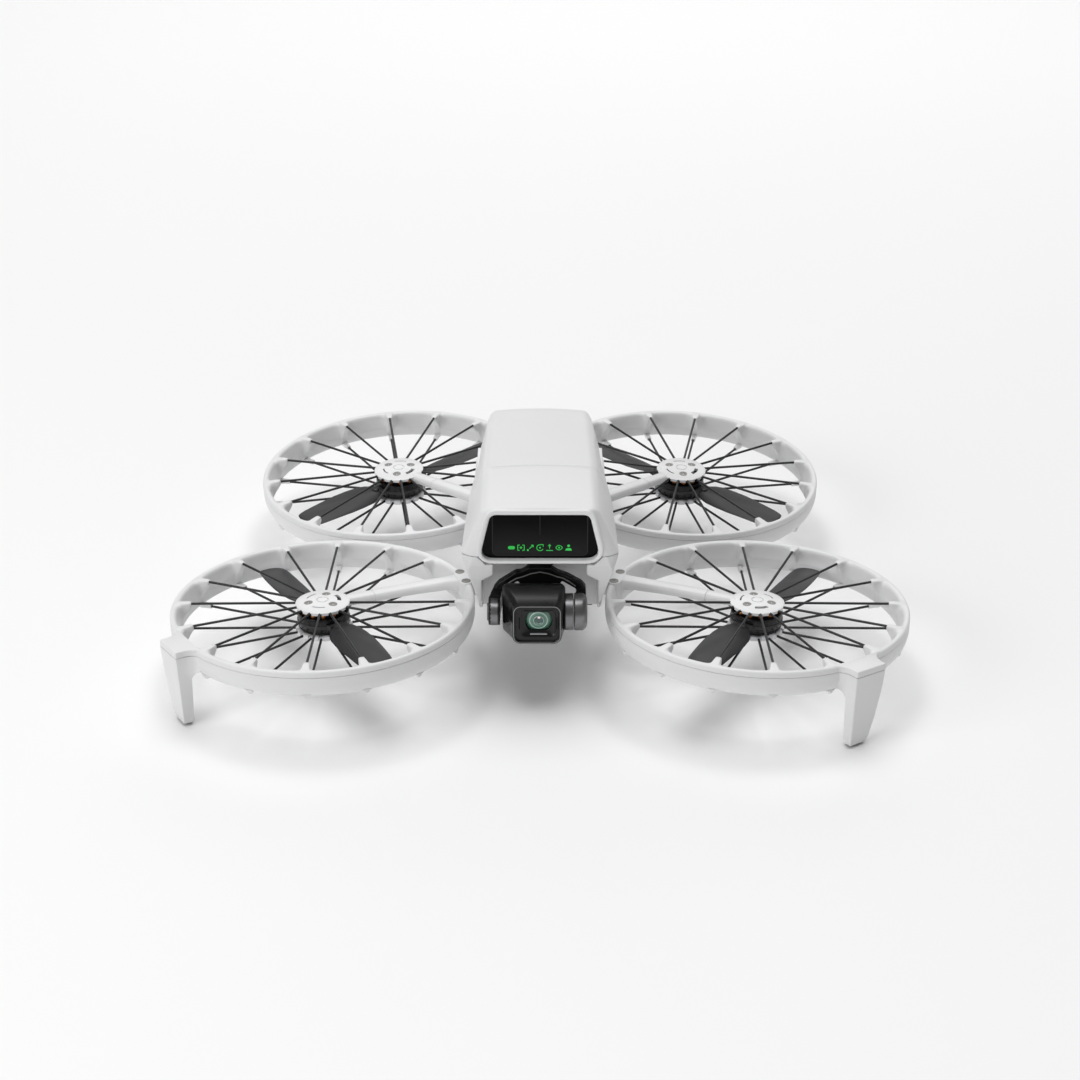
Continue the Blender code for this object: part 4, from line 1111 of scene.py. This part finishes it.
TILT_Y, TILT_Z = -77.0, 5.0
drum = [(0, 3.3), (6.5, 3.3), (6.8, 3.1), (6.8, 0.4), (6.5, 0), (5.6, -0.6), (0, -0.6)]
piece("camera_side_drum", to_side(drum, 9.0, TILT_Y, TILT_Z, 1), "sheen", "camera")
cover = [(0, 4.8), (4.6, 4.8), (5.9, 4.4), (6.7, 3.5), (6.95, 2.9), (6.95, 0.3), (6.7, 0), (0, 0)]
piece(
    "tilt_motor_cover", to_side(cover, 12.6, TILT_Y, TILT_Z, 1), "sheen", "gimbal_roll", None,
    ["tilt_motor"],
)
piece(
    "roll_bridge", softened("roll_frame", 0.32, 4, 0.45), "black", "gimbal_roll", None, ["roll_frame"],
    sharp=45,
)
cap = [
    (0, 1.3), (3.1, 1.3), (3.3, 1.15), (3.35, 0.9), (4.4, 0.8), (4.9, 0.4), (5.0, -0.4), (5.0, -2.6),
    (0, -2.6),
]
piece("roll_bearing_cap", to_side(cap, -18.2, TILT_Y, TILT_Z, -1), "sheen", "gimbal_roll")
piece(
    "roll_motor_cup",
    toward_front(
        [(0, 2.6), (4.9, 2.6), (5.5, 2.3), (5.8, 1.7), (5.8, -2.2), (5.5, -2.5), (0, -2.5)], 0, 9.0, -62.3,
    ),
    "sheen", "gimbal_roll", None, ["roll_motor"],
)
# painted highlight: a thin grey line along the arch's front edge stands for light caught there
slope = [(3.4, 16.3), (6.2, 15.1), (8.6, 14.4), (11.0, 12.9)]
edge = [(-13.4, 10.9)] + [(-x, z) for x, z in reversed(slope)] + [(0, 17.0)] + slope + [(13.2, 11.1)]
piece("roll_bridge_edge_highlight", thread(edge, -68.5, 0.24), "screw", "gimbal_roll")
piece("yaw_carrier", softened("yaw_arm", 0.35, 3, 0.5), "black", "gimbal_yaw", None, ["yaw_arm"], sharp=45)

# ---- CAD nodes that stay ---------------------------------------------------------------------

KEPT = {
    "gimbal_mount": "black", "yaw_motor": "sheen", "belly_cover": "white", "downward_sensor": "gloss",
    "charging_socket": "steel", "mode_button": "button", "power_button": "button", "main_board": "board",
    "heat_sink": "grey", "battery_cells": "cell", "status_display": "panel",
}
for name, node in frame["nodes"].items():
    look = KEPT.get(name)
    if name.endswith("hinge_pin"):
        look = "steel"
    elif name.endswith("hinge_bracket"):
        look = "grey"
    if look:
        node.data.materials.clear()
        node.data.materials.append(FINISH[look][0])

# ---- studio ---------------------------------------------------------------------------------


def light(name, at, aim, size, power):
    lamp = bpy.data.lights.new(name, "AREA")
    lamp.shape, lamp.size, lamp.size_y, lamp.energy = "RECTANGLE", size[0], size[1], power
    holder = bpy.data.objects.new(name, lamp)
    bpy.context.scene.collection.objects.link(holder)
    holder.location = at
    holder.rotation_euler = (Vector(aim) - Vector(at)).to_track_quat("-Z", "Y").to_euler()


floor_mesh = bpy.data.meshes.new("floor")
floor_mesh.from_pydata(
    [(-30, -30, -0.0006), (30, -30, -0.0006), (30, 30, -0.0006), (-30, 30, -0.0006)], [], [(0, 1, 2, 3)],
)
floor = bpy.data.objects.new("floor", floor_mesh)
floor_mesh.materials.append(finish("studio_floor", (0.93, 0.93, 0.93), 0.8, fleck=0.0, scale=20))
bpy.context.scene.collection.objects.link(floor)

overhead = bpy.data.lights.new("top_soft", "SUN")
overhead.energy, overhead.angle = 2.0, math.radians(50)
holder = bpy.data.objects.new("top_soft", overhead)
holder.rotation_euler = (math.radians(-8), 0, 0)
bpy.context.scene.collection.objects.link(holder)
light("front_soft", (-1.15, -0.95, 0.7), (0, 0, 0.03), (1.1, 0.8), 9.0)
light("rear_soft", (0.1, 1.2, 0.7), (0, 0, 0.03), (1.2, 0.5), 2.5)

world = bpy.data.worlds.new("studio")
world.use_nodes = True
world.node_tree.nodes["Background"].inputs["Color"].default_value = (1, 1, 1, 1)
world.node_tree.nodes["Background"].inputs["Strength"].default_value = 0.18
bpy.context.scene.world = world
bpy.context.scene.view_settings.view_transform = "Standard"

lens = bpy.data.cameras.new("camera")
lens.lens, lens.sensor_width = 79.1, 36.0
eye = bpy.data.objects.new("camera", lens)
eye.location = (0, -0.8474, 0.4525)
eye.rotation_euler = (math.radians(63.33), 0, 0)
bpy.context.scene.collection.objects.link(eye)
bpy.context.scene.camera = eye
